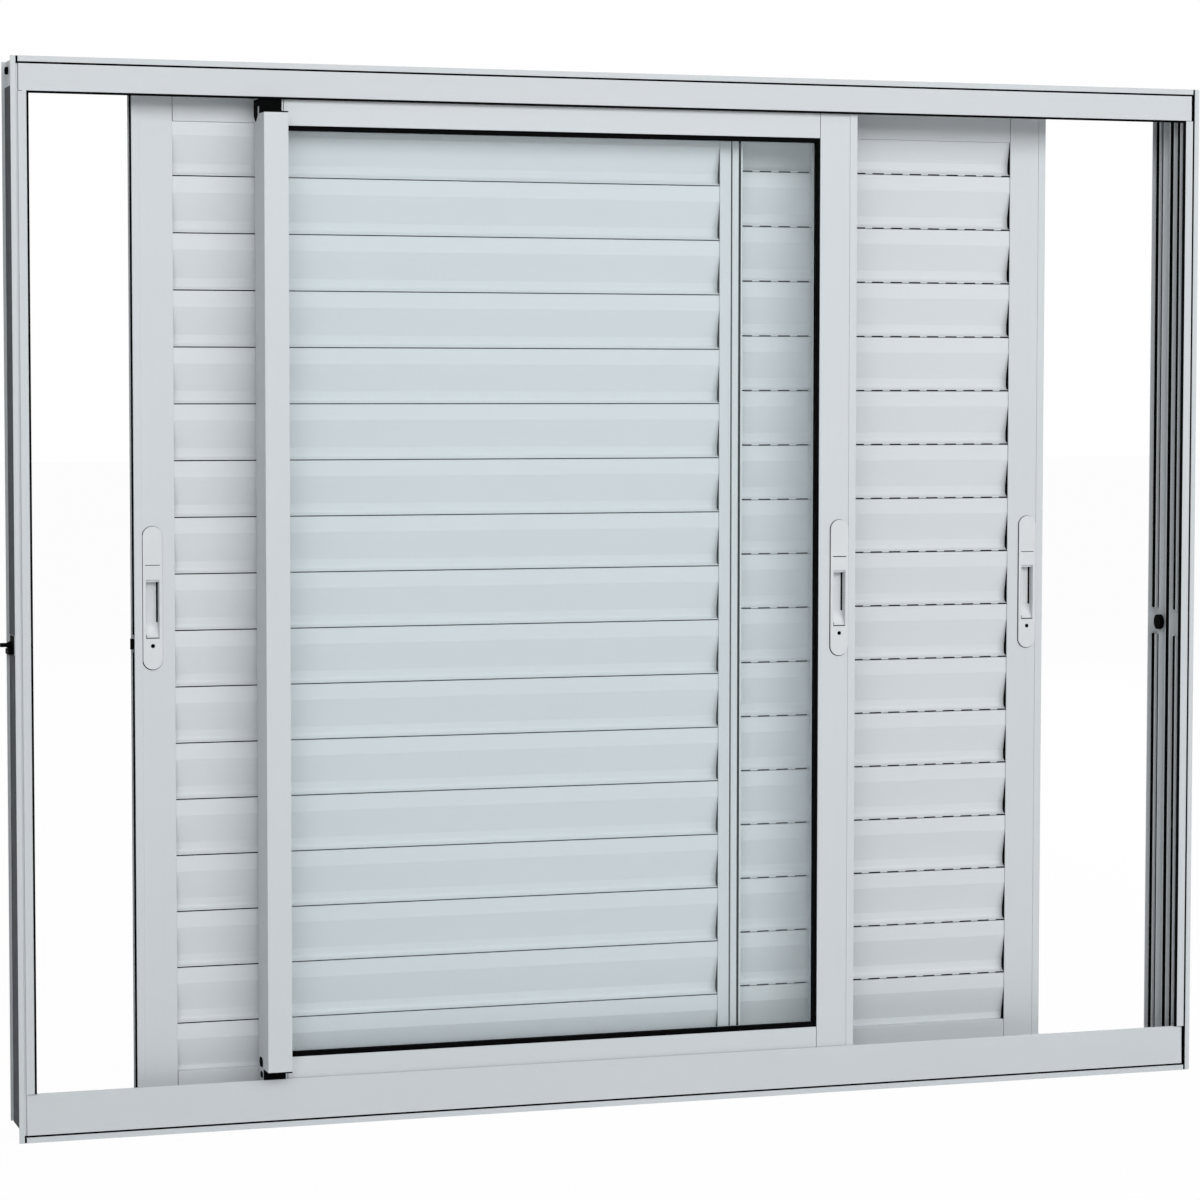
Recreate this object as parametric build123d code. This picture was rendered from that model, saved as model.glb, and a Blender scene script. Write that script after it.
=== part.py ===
"""Three-leaf sliding window: a glass leaf and two louvre shutter leaves in a three-track frame.

Sizes are in millimetres. X runs along the window, Y from the room to the outside, Z up.
The pieces are drawn from the frame's front plane and lowest edge, and are moved once, when
they are saved, so that the origin lies under the middle of the sill's flat underside.
"""

from build123d import *
import os

os.makedirs("parts", exist_ok=True)

# Frame
FRAME_WIDTH = 1200.0
FRAME_HEIGHT = 1000.0
FRAME_DEPTH = 75.0
FRAME_WALL = 1.5
FLANGE_DROP = 7.0
FLANGE_LIP = 5.2
FLANGE_GROOVE_DEPTH = 3.0
RIGHT_END_GAP = 1.2
HEAD_FRONT_HEIGHT = 31.5
SILL_FRONT_HEIGHT = 45.4
SILL_FRONT_LEAN = 2.0
SILL_FRONT_SETBACK = 0.5
SILL_REAR_HEIGHT = 28.0
HEAD_REAR_HEIGHT = 24.0
JAMB_FACE_WIDTH = 14.5
JAMB_GROOVE_WIDTH = 1.9
JAMB_GROOVE_DEPTH = 4.0
JAMB_LIP_WIDTH = 4.9
REAR_FLANGE_INSET = 3.0
JAMB_RIB_SETBACK = 1.5
STRIKE_SLOT_LENGTH = 26.0
STRIKE_SLOT_DEPTH = 5.0
TRACK_PITCH = 23.0
TRACK_RIB_WIDTH = 2.2
TRACK_RIB_HEIGHT = 15.0
DIVIDER_WALL = 1.2
SEAL_REACH = 2.0
SEAL_DEPTH = 3.0

# Leaves
LEAF_THICKNESS = 20.0
LEAF_WALL = 1.4
LEAF_FRONT_CLEARANCE = 5.0
LEAF_SILL_CLEARANCE = 4.0
LEAF_HEAD_CLEARANCE = 6.8
SHUTTER_STILE_WIDTH = 38.4
SHUTTER_MEETING_WIDTH = 23.6
SHUTTER_OVERLAP = 3.5
SHUTTER_TOP_RAIL = 38.5
SHUTTER_BOTTOM_RAIL = 26.0
GLASS_STILE_WIDTH = 38.5
GLASS_LEAF_SHORTFALL = 1.4
GRIP_WIDTH = 23.1
GRIP_PROUD = 21.0
GRIP_TOP_CLEARANCE = 15.2
GRIP_SILL_CLEARANCE = 10.1
GLASS_TOP_RAIL = 42.0
GLASS_BOTTOM_RAIL = 38.0
STEP_WIDTH = 7.5
STEP_RISE = 0.8
MEETING_GROOVE = 1.6
MEETING_BAND = 6.4
MEETING_SLOT = 2.4
MEETING_EDGE = 1.8
MEETING_DEPTH = 4.0
MEETING_HOOK = 9.0

# Louvre slats
SLAT_WALL = 1.2
SLAT_ENTRY = 6.0
SLAT_FALL = 6.5
SLAT_STRIP = 15.0
SLAT_SLOPE = 26.0
SLAT_FOOT = 6.0
SLAT_GAP = 0.8
SLAT_LIP_SETBACK = 0.4
SLAT_HOOK_LENGTH = 4.0
SLAT_HOOK_WALL = 1.0
SLAT_HOOK_CLEARANCE = 1.2
PLAIN_SLAT_PITCH = 53.1
PLAIN_SLAT_LINE = 46.4
VENT_SLAT_PITCH = 54.0
VENT_SLAT_LINE = 48.0

# Glass
GLASS_THICKNESS = 4.0
GASKET_WIDTH = 3.2
GASKET_RECESS = 1.0
GASKET_BACK = 1.0

# How far each leaf stands open, from the side of the frame that it closes on
LEFT_SHUTTER_OPEN = 115.6
RIGHT_SHUTTER_OPEN = 146.4
GLASS_LEAF_FROM_LEFT = 231.5

# End caps of the grip
CAP_STAND = 3.0
CAP_FLANGE = 1.2
CAP_SIDE = 0.8
CAP_NARROWING = 2.3
TONGUE_FRONT = 6.0
TONGUE_NECK = 6.5
TONGUE_SHOULDER = 14.5
TONGUE_LENGTH = 20.0
DRAIN_LENGTH = 16.0
DRAIN_WIDTH = 9.5
DRAIN_HEIGHT = 60.5
DRAIN_INSET = 10.5

# Hardware
PULL_LENGTH = 134.0
PULL_WIDTH = 18.4
PULL_THICKNESS = 1.6
PULL_HEIGHT = 502.0
PULL_RECESS_LENGTH = 55.0
PULL_RECESS_WIDTH = 12.6
PULL_RECESS_DEPTH = 9.0
PULL_RECESS_OFFSET = -10.5
PULL_RAMP = 15.0
PULL_RAMP_END = 1.0
PULL_LEDGE = 2.0
PULL_LINE_OFFSET = 30.3
PULL_LINE_WIDTH = 14.0
PULL_LINE_HEIGHT = 0.8
PULL_LINE_DEPTH = 0.4
PULL_CUP_WALL = 1.0
PULL_EDGE = 17.1
PULL_SCREW_OFFSET = -45.0
PULL_SCREW_RADIUS = 2.0
LATCH_BELOW_PULL = 43.5
LATCH_LENGTH = 10.0
LATCH_WIDTH = 5.0
LATCH_REACH = 2.0
ROLLER_RADIUS = 9.0
ROLLER_WIDTH = 6.0
ROLLER_GROOVE = 1.5
ROLLER_END_DISTANCE = 70.0
CARRIAGE_LENGTH = 46.0
AXLE_RADIUS = 2.0
AXLE_COVER = 2.0
SEAT_CLEARANCE = 0.3
AXLE_CLEARANCE = 0.1
ROLLER_SIDE_CLEARANCE = 0.5
CARRIAGE_SHELF = 40.5
GUIDE_LENGTH = 30.0
GUIDE_HEIGHT = 5.0
GUIDE_SINK = 8.0
BUMPER_RADIUS = 7.6
BUMPER_FORWARD = 4.5
BUMPER_THICKNESS = 4.5
STRIKE_PLATE = 1.2
STRIKE_WIDTH = 18.0
STRIKE_LENGTH = 17.0
STRIKE_BLOCK = 5.5
STRIKE_BLOCK_HEIGHT = 5.0
STRIKE_DOME_RADIUS = 4.6
STRIKE_DOME = 6.0
STRIKE_REACH = 5.0
STRIKE_STEM_RADIUS = 2.0

BASE = (Align.CENTER, Align.CENTER, Align.MIN)
placement = Location((0, -FRAME_DEPTH / 2, -FLANGE_DROP))
half_width = FRAME_WIDTH / 2
groove_outer = half_width - JAMB_LIP_WIDTH
groove_inner = groove_outer - JAMB_GROOVE_WIDTH
web_inner = groove_inner - FRAME_WALL
daylight_x = half_width - JAMB_FACE_WIDTH
sill_top = FLANGE_DROP + FRAME_WALL
track_top = sill_top + TRACK_RIB_HEIGHT
head_under = FRAME_HEIGHT - FLANGE_DROP - FRAME_WALL
leaf_bottom = track_top + LEAF_SILL_CLEARANCE
leaf_top = head_under - LEAF_HEAD_CLEARANCE
band_low = FRAME_HEIGHT - HEAD_FRONT_HEIGHT
grip_top = band_low - GRIP_TOP_CLEARANCE
grip_low = SILL_FRONT_HEIGHT + GRIP_SILL_CLEARANCE
axle_height = track_top + SEAT_CLEARANCE + ROLLER_RADIUS - ROLLER_GROOVE
shutter_width = half_width + SHUTTER_OVERLAP
glass_leaf_width = half_width - GLASS_LEAF_SHORTFALL
slat_depth = SLAT_FALL + SLAT_WALL
pocket_floor = STEP_WIDTH - LEAF_WALL
latch_height = PULL_HEIGHT - LATCH_BELOW_PULL


def save(name, piece):
    """Write one node, moved to the part's origin."""
    export_step(placement * piece, f"parts/{name}.step")


def strip(a0, a1, b0, b1):
    """A rectangle of a section, from its four sides."""
    return Pos((a0 + a1) / 2, (b0 + b1) / 2) * Rectangle(a1 - a0, b1 - b0)


def along_x(section, x0, x1):
    """Extrude a section drawn in depth and height along the window."""
    return extrude(Plane.YZ.offset(x0) * section, x1 - x0)


def upright(section, z0, z1):
    """Extrude a section drawn in width and depth upwards."""
    return extrude(Plane.XY.offset(z0) * section, z1 - z0)


def block(x0, x1, y0, y1, z0, z1):
    """A box from its six sides."""
    return Pos((x0 + x1) / 2, (y0 + y1) / 2, (z0 + z1) / 2) * Box(x1 - x0, y1 - y0, z1 - z0)


def leaf_front(track):
    """Depth of a leaf's room-side face, for track 0, 1 or 2."""
    return LEAF_FRONT_CLEARANCE + track * TRACK_PITCH


def leaf_middle(track):
    """Depth of a track's centre line."""
    return leaf_front(track) + LEAF_THICKNESS / 2


def divider_depths():
    """Centre depths of the fins between two tracks."""
    return [leaf_middle(track) + TRACK_PITCH / 2 for track in (0, 1)]


def flange_hook():
    """Front lip of the sill, hooked round a narrow groove; the head's is the same upside down."""
    web_back = FLANGE_GROOVE_DEPTH + FRAME_WALL
    section = strip(0, FRAME_WALL, 0, FLANGE_LIP)
    section += strip(0, web_back, 0, FRAME_WALL)
    section += strip(FLANGE_GROOVE_DEPTH, web_back, 0, sill_top)
    return section


def sill_section():
    """Section of the sill: front flange, leaning front wall, floor, tracks and rear flange."""
    front_wall = make_face(Polyline(
        (SILL_FRONT_SETBACK, FLANGE_DROP),
        (SILL_FRONT_SETBACK + SILL_FRONT_LEAN, SILL_FRONT_HEIGHT),
        (SILL_FRONT_SETBACK + SILL_FRONT_LEAN + FRAME_WALL, SILL_FRONT_HEIGHT),
        (SILL_FRONT_SETBACK + FRAME_WALL, FLANGE_DROP),
        close=True,
    ))
    section = flange_hook() + front_wall
    section += strip(SILL_FRONT_SETBACK, FRAME_DEPTH, FLANGE_DROP, sill_top)
    section += strip(FRAME_DEPTH - FRAME_WALL, FRAME_DEPTH, FLANGE_DROP, SILL_REAR_HEIGHT)
    for track in range(3):
        middle = leaf_middle(track)
        section += strip(
            middle - TRACK_RIB_WIDTH / 2, middle + TRACK_RIB_WIDTH / 2, FLANGE_DROP, track_top
        )
    for middle in divider_depths():
        section += strip(
            middle - DIVIDER_WALL / 2, middle + DIVIDER_WALL / 2, FLANGE_DROP, SILL_REAR_HEIGHT
        )
    return section


def head_section():
    """Section of the head: front flange and band, ceiling, dividers and rear flange."""
    top = FRAME_HEIGHT - FLANGE_DROP
    fin_end = FRAME_HEIGHT - HEAD_REAR_HEIGHT
    section = Pos(0, FRAME_HEIGHT) * mirror(flange_hook(), Plane.XZ)
    section += strip(0, FRAME_DEPTH, head_under, top)
    section += strip(0, FRAME_WALL, band_low, head_under)
    section += strip(FRAME_DEPTH - FRAME_WALL, FRAME_DEPTH, fin_end, top)
    for middle in divider_depths():
        section += strip(middle - DIVIDER_WALL / 2, middle + DIVIDER_WALL / 2, fin_end, top)
    return section


def jamb_section():
    """Section of the right jamb: lip, groove, front band, web, ribs, dividers and rear flange."""
    groove_back = JAMB_GROOVE_DEPTH + FRAME_WALL
    section = strip(groove_outer, half_width, 0, FRAME_WALL)
    section += strip(groove_outer, groove_outer + FRAME_WALL, 0, groove_back)
    section += strip(web_inner, groove_outer + FRAME_WALL, JAMB_GROOVE_DEPTH, groove_back)
    section += strip(web_inner, groove_inner, 0, FRAME_DEPTH)
    section += strip(daylight_x, groove_inner, 0, FRAME_WALL)
    rear_outer = half_width - REAR_FLANGE_INSET
    section += strip(daylight_x, rear_outer, FRAME_DEPTH - FRAME_WALL, FRAME_DEPTH)
    for track in range(3):
        middle = leaf_middle(track)
        section += strip(
            daylight_x + JAMB_RIB_SETBACK, groove_inner,
            middle - TRACK_RIB_WIDTH / 2, middle + TRACK_RIB_WIDTH / 2,
        )
    for middle in divider_depths():
        section += strip(
            daylight_x, groove_inner, middle - DIVIDER_WALL / 2, middle + DIVIDER_WALL / 2
        )
    return section


def between_jambs(section):
    """Cut a head or sill to length: up to the webs, in front to the grooves, its lip to the lips."""
    front = strip(0, JAMB_GROOVE_DEPTH, 0, FRAME_HEIGHT)
    lips = strip(0, FRAME_WALL, 0, FLANGE_LIP)
    lips += strip(0, FRAME_WALL, FRAME_HEIGHT - FLANGE_LIP, FRAME_HEIGHT)
    rear_part = along_x(section - front, -web_inner, web_inner)
    front_part = along_x(section & front, -groove_inner, groove_inner - RIGHT_END_GAP)
    return rear_part + front_part + along_x(section & lips, -groove_outer, groove_outer)


def clear_end(jamb, front_span, rear_span):
    """Cut a jamb's end free for the sill or head, whose front and rear heights are given."""
    groove_back = JAMB_GROOVE_DEPTH + FRAME_WALL
    jamb -= along_x(strip(0, FRAME_DEPTH, *rear_span), 0, web_inner)
    jamb -= along_x(strip(0, groove_back, *front_span), 0, web_inner)
    jamb -= along_x(strip(0, JAMB_GROOVE_DEPTH, *front_span), 0, groove_inner)
    return jamb


def strike_slot(track):
    """Room for a latch in the rib of one track."""
    middle = leaf_middle(track)
    half_length = STRIKE_SLOT_LENGTH / 2
    return block(
        daylight_x, daylight_x + STRIKE_SLOT_DEPTH, middle - TRACK_RIB_WIDTH,
        middle + TRACK_RIB_WIDTH, latch_height - half_length, latch_height + half_length,
    )


def make_jamb(side, latched_tracks):
    """Jamb: the lip runs full height, and the band and fins stand between sill and head."""
    jamb = upright(jamb_section(), 0, FRAME_HEIGHT)
    jamb = clear_end(jamb, (0, SILL_FRONT_HEIGHT), (0, SILL_REAR_HEIGHT))
    jamb = clear_end(
        jamb, (band_low, FRAME_HEIGHT), (FRAME_HEIGHT - HEAD_REAR_HEIGHT, FRAME_HEIGHT)
    )
    jamb -= block(0, half_width, FRAME_WALL, FRAME_DEPTH, 0, FLANGE_DROP)
    for track in latched_tracks:
        jamb -= strike_slot(track)
    if side < 0:
        jamb = mirror(jamb, Plane.YZ)
    return jamb


def make_seal(side):
    """Black strip on the inner edge of a jamb's front band, or under the head's band for side 0."""
    if side == 0:
        return block(
            -daylight_x + SEAL_REACH, daylight_x - SEAL_REACH, 0, SEAL_DEPTH,
            band_low - SEAL_REACH, band_low,
        )
    seal = block(
        daylight_x - SEAL_REACH, daylight_x, 0, SEAL_DEPTH, SILL_FRONT_HEIGHT, band_low
    )
    if side < 0:
        seal = mirror(seal, Plane.YZ)
    return seal


def make_bumper():
    """Round rubber stop on the right jamb, seated on the tip of the rear divider."""
    depth = divider_depths()[1] - BUMPER_FORWARD
    stop = Plane.YZ.offset(daylight_x - BUMPER_THICKNESS) * Pos(depth, latch_height) * Circle(
        BUMPER_RADIUS
    )
    return extrude(stop, BUMPER_THICKNESS)


def make_strike():
    """Black strike on the left jamb's outer side: plate, catch block, and a dome with a stem."""
    depth = leaf_middle(2)
    plate_x = -groove_inner - STRIKE_PLATE
    low = latch_height - STRIKE_LENGTH / 2
    strike = block(
        plate_x, -groove_inner, depth - STRIKE_WIDTH / 2, depth + STRIKE_WIDTH / 2,
        low, low + STRIKE_LENGTH,
    )
    strike += block(
        -groove_inner - STRIKE_BLOCK, -groove_inner, depth - STRIKE_WIDTH / 2,
        depth + STRIKE_WIDTH / 2, low, low + STRIKE_BLOCK_HEIGHT,
    )
    dome = Cone(STRIKE_DOME_RADIUS, STRIKE_STEM_RADIUS, STRIKE_DOME, align=BASE)
    stem_length = half_width + STRIKE_REACH - groove_inner
    stem = Cylinder(STRIKE_STEM_RADIUS, stem_length, align=BASE)
    return strike + Pos(-groove_inner, depth, latch_height) * Rot(0, -90, 0) * (dome + stem)


def outer_stile_section(width, front, wall_start):
    """Section of a stile that closes on a jamb: face, raised edge, open pocket, inner wall."""
    back = front + LEAF_THICKNESS
    raised = front - STEP_RISE
    section = strip(pocket_floor, width, front, front + LEAF_WALL)
    section += strip(0, STEP_WIDTH, raised, raised + LEAF_WALL)
    section += strip(pocket_floor, STEP_WIDTH, raised, back)
    section += strip(width - LEAF_WALL, width, wall_start, back)
    section += strip(0, width, back - LEAF_WALL, back)
    return section


def slat_slot_end(front):
    """Depth behind the slats, where the slot for their ends stops and a stile's wall begins."""
    return front + LEAF_WALL + slat_depth


def meeting_stile_section(front):
    """Section of a stile where two shutter leaves pass: box, groove, hollow band, slot and hook."""
    back = front + LEAF_THICKNESS
    web = front + MEETING_DEPTH
    edge = SHUTTER_MEETING_WIDTH - MEETING_EDGE
    band_end = edge - MEETING_SLOT
    band_start = band_end - MEETING_BAND
    box_width = band_start - MEETING_GROOVE
    section = strip(0, box_width, front, front + LEAF_WALL)
    section += strip(0, LEAF_WALL, slat_slot_end(front), back)
    section += strip(0, box_width, back - LEAF_WALL, back)
    section += strip(box_width - LEAF_WALL, box_width, front, back)
    section += strip(box_width - LEAF_WALL, SHUTTER_MEETING_WIDTH, web, web + LEAF_WALL)
    section += strip(band_start, band_end, front, web)
    section -= strip(band_start + LEAF_WALL, band_end - LEAF_WALL, front + LEAF_WALL, web)
    section += strip(edge, SHUTTER_MEETING_WIDTH, front, web + MEETING_HOOK)
    return section


def grip_stile(x0):
    """Stile of the glass leaf that stands proud of the frame as a long grip."""
    front = leaf_front(0)
    back = front + LEAF_THICKNESS
    body = strip(0, GRIP_WIDTH, front, back) - strip(
        LEAF_WALL, GRIP_WIDTH - LEAF_WALL, front + LEAF_WALL, back - LEAF_WALL
    )
    proud = strip(0, GRIP_WIDTH, front - GRIP_PROUD, front) - strip(
        LEAF_WALL, GRIP_WIDTH - LEAF_WALL, front - GRIP_PROUD + LEAF_WALL, front
    )
    stile = upright(body, leaf_bottom, leaf_top)
    stile += upright(proud, grip_low, grip_top)
    drain = Plane.YZ * Pos(front + DRAIN_INSET, DRAIN_HEIGHT) * SlotOverall(
        DRAIN_LENGTH, DRAIN_WIDTH
    )
    return Pos(x0, 0, 0) * (stile - extrude(drain, LEAF_WALL))


def grip_cap(x0, grip_end, frame_edge):
    """Black end piece of the grip: a flange on the grip's end, and a block before the stile."""
    front = leaf_front(0)
    side = 1 if frame_edge > grip_end else -1
    flange_end = grip_end + side * CAP_FLANGE
    cap = block(
        x0, x0 + GRIP_WIDTH, front - GRIP_PROUD, front,
        min(grip_end, flange_end), max(grip_end, flange_end),
    )
    cap += block(
        x0, x0 + GRIP_WIDTH - CAP_NARROWING, front - CAP_STAND, front,
        min(grip_end, frame_edge), max(grip_end, frame_edge),
    )
    return cap


def grip_top_cap(x0):
    """The upper end piece, which also wraps round the stile's side and ends there in a tongue."""
    front = leaf_front(0)
    high = band_low - SEAL_REACH
    back = front + LEAF_THICKNESS
    tongue = make_face(Polyline(
        (front - CAP_STAND, high), (back, high), (back, high - TONGUE_SHOULDER),
        ((front + TONGUE_FRONT + back) / 2, high - TONGUE_LENGTH),
        (front + TONGUE_FRONT, high - TONGUE_SHOULDER), (front + TONGUE_FRONT, high - TONGUE_NECK),
        (front - CAP_STAND, high - TONGUE_NECK), close=True,
    ))
    return grip_cap(x0, grip_top, high) + along_x(tongue, x0 - CAP_SIDE, x0)


def turned(piece, x0, width, side):
    """Move a piece drawn from x = 0 to x0, or mirror it into the same span for side 1."""
    if side > 0:
        return Pos(x0 + width, 0, 0) * mirror(piece, Plane.YZ)
    return Pos(x0, 0, 0) * piece


def pull_outline(length, width):
    """Full-round outline of a pull's plate, in width and height."""
    return SlotOverall(length, width, rotation=90)


def pull_cup(x, front, extra):
    """Outer box of a pull's finger recess, grown by a clearance."""
    return Pos(x, front, PULL_HEIGHT + PULL_RECESS_OFFSET) * Box(
        PULL_RECESS_WIDTH + 2 * extra, PULL_RECESS_DEPTH + extra,
        PULL_RECESS_LENGTH + 2 * extra, align=(Align.CENTER, Align.MIN, Align.CENTER),
    )


def pull_opening(x, front):
    """Finger recess: a small ledge at its upper end, and a ramp that rises at its lower end."""
    face = front - PULL_THICKNESS
    floor = face + PULL_RECESS_DEPTH
    high = PULL_HEIGHT + PULL_RECESS_OFFSET + PULL_RECESS_LENGTH / 2
    low = high - PULL_RECESS_LENGTH
    side = make_face(Polyline(
        (face, low), (face, high), (face + PULL_LEDGE, high),
        (face + PULL_LEDGE, high - PULL_LEDGE), (floor, high - PULL_LEDGE),
        (floor, low + PULL_RAMP), (face + PULL_RAMP_END, low), close=True,
    ))
    return along_x(side, x - PULL_RECESS_WIDTH / 2, x + PULL_RECESS_WIDTH / 2)


def make_pull(x, front):
    """Flush pull: a round-ended plate with a finger recess, a shallow line and a screw hole."""
    face = front - PULL_THICKNESS
    plate = Plane.XZ.offset(-front) * Pos(x, PULL_HEIGHT) * pull_outline(PULL_LENGTH, PULL_WIDTH)
    pull = extrude(plate, PULL_THICKNESS)
    pull += pull_cup(x, front, PULL_CUP_WALL)
    pull -= pull_opening(x, front)
    line_low = PULL_HEIGHT + PULL_LINE_OFFSET
    pull -= block(
        x - PULL_LINE_WIDTH / 2, x + PULL_LINE_WIDTH / 2, face, face + PULL_LINE_DEPTH,
        line_low, line_low + PULL_LINE_HEIGHT,
    )
    screw = Pos(x, face, PULL_HEIGHT + PULL_SCREW_OFFSET) * Rot(-90, 0, 0) * Cylinder(
        PULL_SCREW_RADIUS, PULL_THICKNESS, align=BASE
    )
    return pull - screw


def make_latch(x, side, front):
    """Latch tongue in a stile's open pocket; only the left shutter's reaches out of it."""
    middle = front + LEAF_THICKNESS / 2
    inner = x - side * pocket_floor
    outer = x + side * (LATCH_REACH if side < 0 else 0)
    return block(
        min(inner, outer), max(inner, outer), middle - LATCH_WIDTH / 2, middle + LATCH_WIDTH / 2,
        latch_height - LATCH_LENGTH / 2, latch_height + LATCH_LENGTH / 2,
    )


def top_rail(x0, x1, height, front):
    """Top rail of a leaf: a channel open upwards, with a floor at the leaf's daylight edge."""
    back = front + LEAF_THICKNESS
    low = leaf_top - height
    section = strip(front, front + LEAF_WALL, low, leaf_top)
    section += strip(back - LEAF_WALL, back, low, leaf_top)
    section += strip(front, back, low, low + LEAF_WALL)
    section += strip(front, back, leaf_top - GUIDE_SINK - LEAF_WALL, leaf_top - GUIDE_SINK)
    return along_x(section, x0, x1)


def bottom_rail(x0, x1, height, front):
    """Bottom rail of a leaf: a channel open downwards over the track."""
    back = front + LEAF_THICKNESS
    high = leaf_bottom + height
    section = strip(front, front + LEAF_WALL, leaf_bottom, high)
    section += strip(back - LEAF_WALL, back, leaf_bottom, high)
    section += strip(front, back, high - LEAF_WALL, high)
    section += strip(front, back, CARRIAGE_SHELF, CARRIAGE_SHELF + LEAF_WALL)
    return along_x(section, x0, x1)


def slat_section(front, top, pitch, line_gap):
    """Section of one slat: flush strip, slope, foot, cove back to its lip, and a hanging hook."""
    face = front + LEAF_WALL
    bed = face + SLAT_FALL
    slope_top = top - SLAT_STRIP
    slope_low = slope_top - SLAT_SLOPE
    foot_low = slope_low - SLAT_FOOT
    lip = top - pitch + line_gap + SLAT_WALL
    lip_face = face + SLAT_LIP_SETBACK
    outline = Polyline((face, top), (face, slope_top), (bed, slope_low), (bed, foot_low))
    outline += TangentArc((bed, foot_low), (lip_face, lip), tangent=(0, -1))
    outline += Line((lip_face, lip), (lip_face, lip - SLAT_WALL))
    outline += TangentArc(
        (bed + SLAT_WALL, foot_low), (lip_face, lip - SLAT_WALL), tangent=(0, -1)
    )
    outline += Polyline(
        (bed + SLAT_WALL, foot_low), (bed + SLAT_WALL, slope_low),
        (face + SLAT_WALL, slope_top), (face + SLAT_WALL, top), (face, top),
    )
    hook_face = face + SLAT_WALL + SLAT_HOOK_CLEARANCE
    hook = strip(
        hook_face, hook_face + SLAT_HOOK_WALL, lip - SLAT_WALL - SLAT_HOOK_LENGTH,
        lip - SLAT_WALL / 2,
    )
    return make_face(outline) + hook


def make_slats(x0, x1, front, pitch, first_line):
    """Slats of one shutter leaf, from rail to rail, each a solid of its own."""
    low = leaf_bottom + SHUTTER_BOTTOM_RAIL
    high = leaf_top - SHUTTER_TOP_RAIL
    slats = []
    top = first_line + pitch
    while top - pitch < high - SLAT_GAP:
        slat = along_x(slat_section(front, top - SLAT_GAP, pitch, SLAT_GAP), x0, x1)
        if top > high or top - pitch < low:
            slat &= block(x0, x1, front, front + LEAF_THICKNESS, low, high)
        slats.append(slat)
        top += pitch
    return Compound(slats)


def roller_places(x0, x1):
    """Two places along a leaf where its rollers run."""
    return [x0 + ROLLER_END_DISTANCE, x1 - ROLLER_END_DISTANCE]


def make_roller(x, track):
    """Grooved wheel that straddles the track rib."""
    floor = ROLLER_RADIUS - ROLLER_GROOVE
    half = ROLLER_WIDTH / 2
    groove_half = TRACK_RIB_WIDTH / 2 + SEAT_CLEARANCE
    wheel = Cylinder(ROLLER_RADIUS, ROLLER_WIDTH) - Cylinder(AXLE_RADIUS + AXLE_CLEARANCE, ROLLER_WIDTH)
    wheel -= Cylinder(ROLLER_RADIUS, 2 * groove_half) - Cylinder(floor, 2 * groove_half)
    return Pos(x, leaf_middle(track), axle_height) * Rot(90, 0, 0) * wheel


def make_carriage(x, track):
    """Roller housing seated under the shelf of the bottom rail, with its axle."""
    middle = leaf_middle(track)
    half_room = LEAF_THICKNESS / 2 - LEAF_WALL
    low = axle_height - AXLE_RADIUS - AXLE_COVER
    body = block(
        x - CARRIAGE_LENGTH / 2, x + CARRIAGE_LENGTH / 2, middle - half_room, middle + half_room,
        low, CARRIAGE_SHELF,
    )
    slot_half = ROLLER_WIDTH / 2 + ROLLER_SIDE_CLEARANCE
    wheel_room = ROLLER_RADIUS + ROLLER_SIDE_CLEARANCE
    body -= block(
        x - wheel_room, x + wheel_room, middle - slot_half, middle + slot_half, low, CARRIAGE_SHELF
    )
    axle = Pos(x, middle, axle_height) * Rot(90, 0, 0) * Cylinder(AXLE_RADIUS, 2 * half_room)
    return body + axle


def make_guide(x, track):
    """Plastic block in the top rail that keeps the leaf upright in the head."""
    middle = leaf_middle(track)
    half_room = LEAF_THICKNESS / 2 - LEAF_WALL
    return block(
        x - GUIDE_LENGTH / 2, x + GUIDE_LENGTH / 2, middle - half_room, middle + half_room,
        leaf_top - GUIDE_SINK, leaf_top + GUIDE_HEIGHT,
    )


def save_running_gear(name, x0, x1, track):
    """Write the guides, roller carriages and rollers of one leaf."""
    places = roller_places(x0, x1)
    save(f"{name}_top_guides", Compound([make_guide(x, track) for x in places]))
    save(f"{name}_roller_carriages", Compound([make_carriage(x, track) for x in places]))
    save(f"{name}_rollers", Compound([make_roller(x, track) for x in places]))


def save_shutter(name, x0, track, side, pitch, first_line):
    """Write one shutter leaf, whose outer stile is on the given side."""
    front = leaf_front(track)
    end = x0 + shutter_width
    outer_x = x0 if side < 0 else end - SHUTTER_STILE_WIDTH
    meeting_x = end - SHUTTER_MEETING_WIDTH if side < 0 else x0
    section = outer_stile_section(SHUTTER_STILE_WIDTH, front, slat_slot_end(front))
    outer = turned(upright(section, leaf_bottom, leaf_top), outer_x, SHUTTER_STILE_WIDTH, side)
    meeting = turned(
        upright(meeting_stile_section(front), leaf_bottom, leaf_top),
        meeting_x, SHUTTER_MEETING_WIDTH, side,
    )
    slat_start = x0 + (SHUTTER_STILE_WIDTH if side < 0 else SHUTTER_MEETING_WIDTH)
    slat_end = slat_start + shutter_width - SHUTTER_STILE_WIDTH - SHUTTER_MEETING_WIDTH
    edge = x0 if side < 0 else end
    pull_x = edge - side * PULL_EDGE
    outer -= pull_cup(pull_x, front, PULL_CUP_WALL)
    slats = make_slats(slat_start - SLAT_ENTRY, slat_end + SLAT_ENTRY, front, pitch, first_line)
    save(f"{name}_outer_stile", outer)
    save(f"{name}_meeting_stile", meeting)
    save(f"{name}_top_rail", top_rail(slat_start, slat_end, SHUTTER_TOP_RAIL, front))
    save(f"{name}_bottom_rail", bottom_rail(slat_start, slat_end, SHUTTER_BOTTOM_RAIL, front))
    save(f"{name}_slats", slats)
    save(f"{name}_pull", make_pull(pull_x, front))
    save(f"{name}_latch", make_latch(edge, side, front))
    save_running_gear(name, slat_start, slat_end, track)


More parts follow.
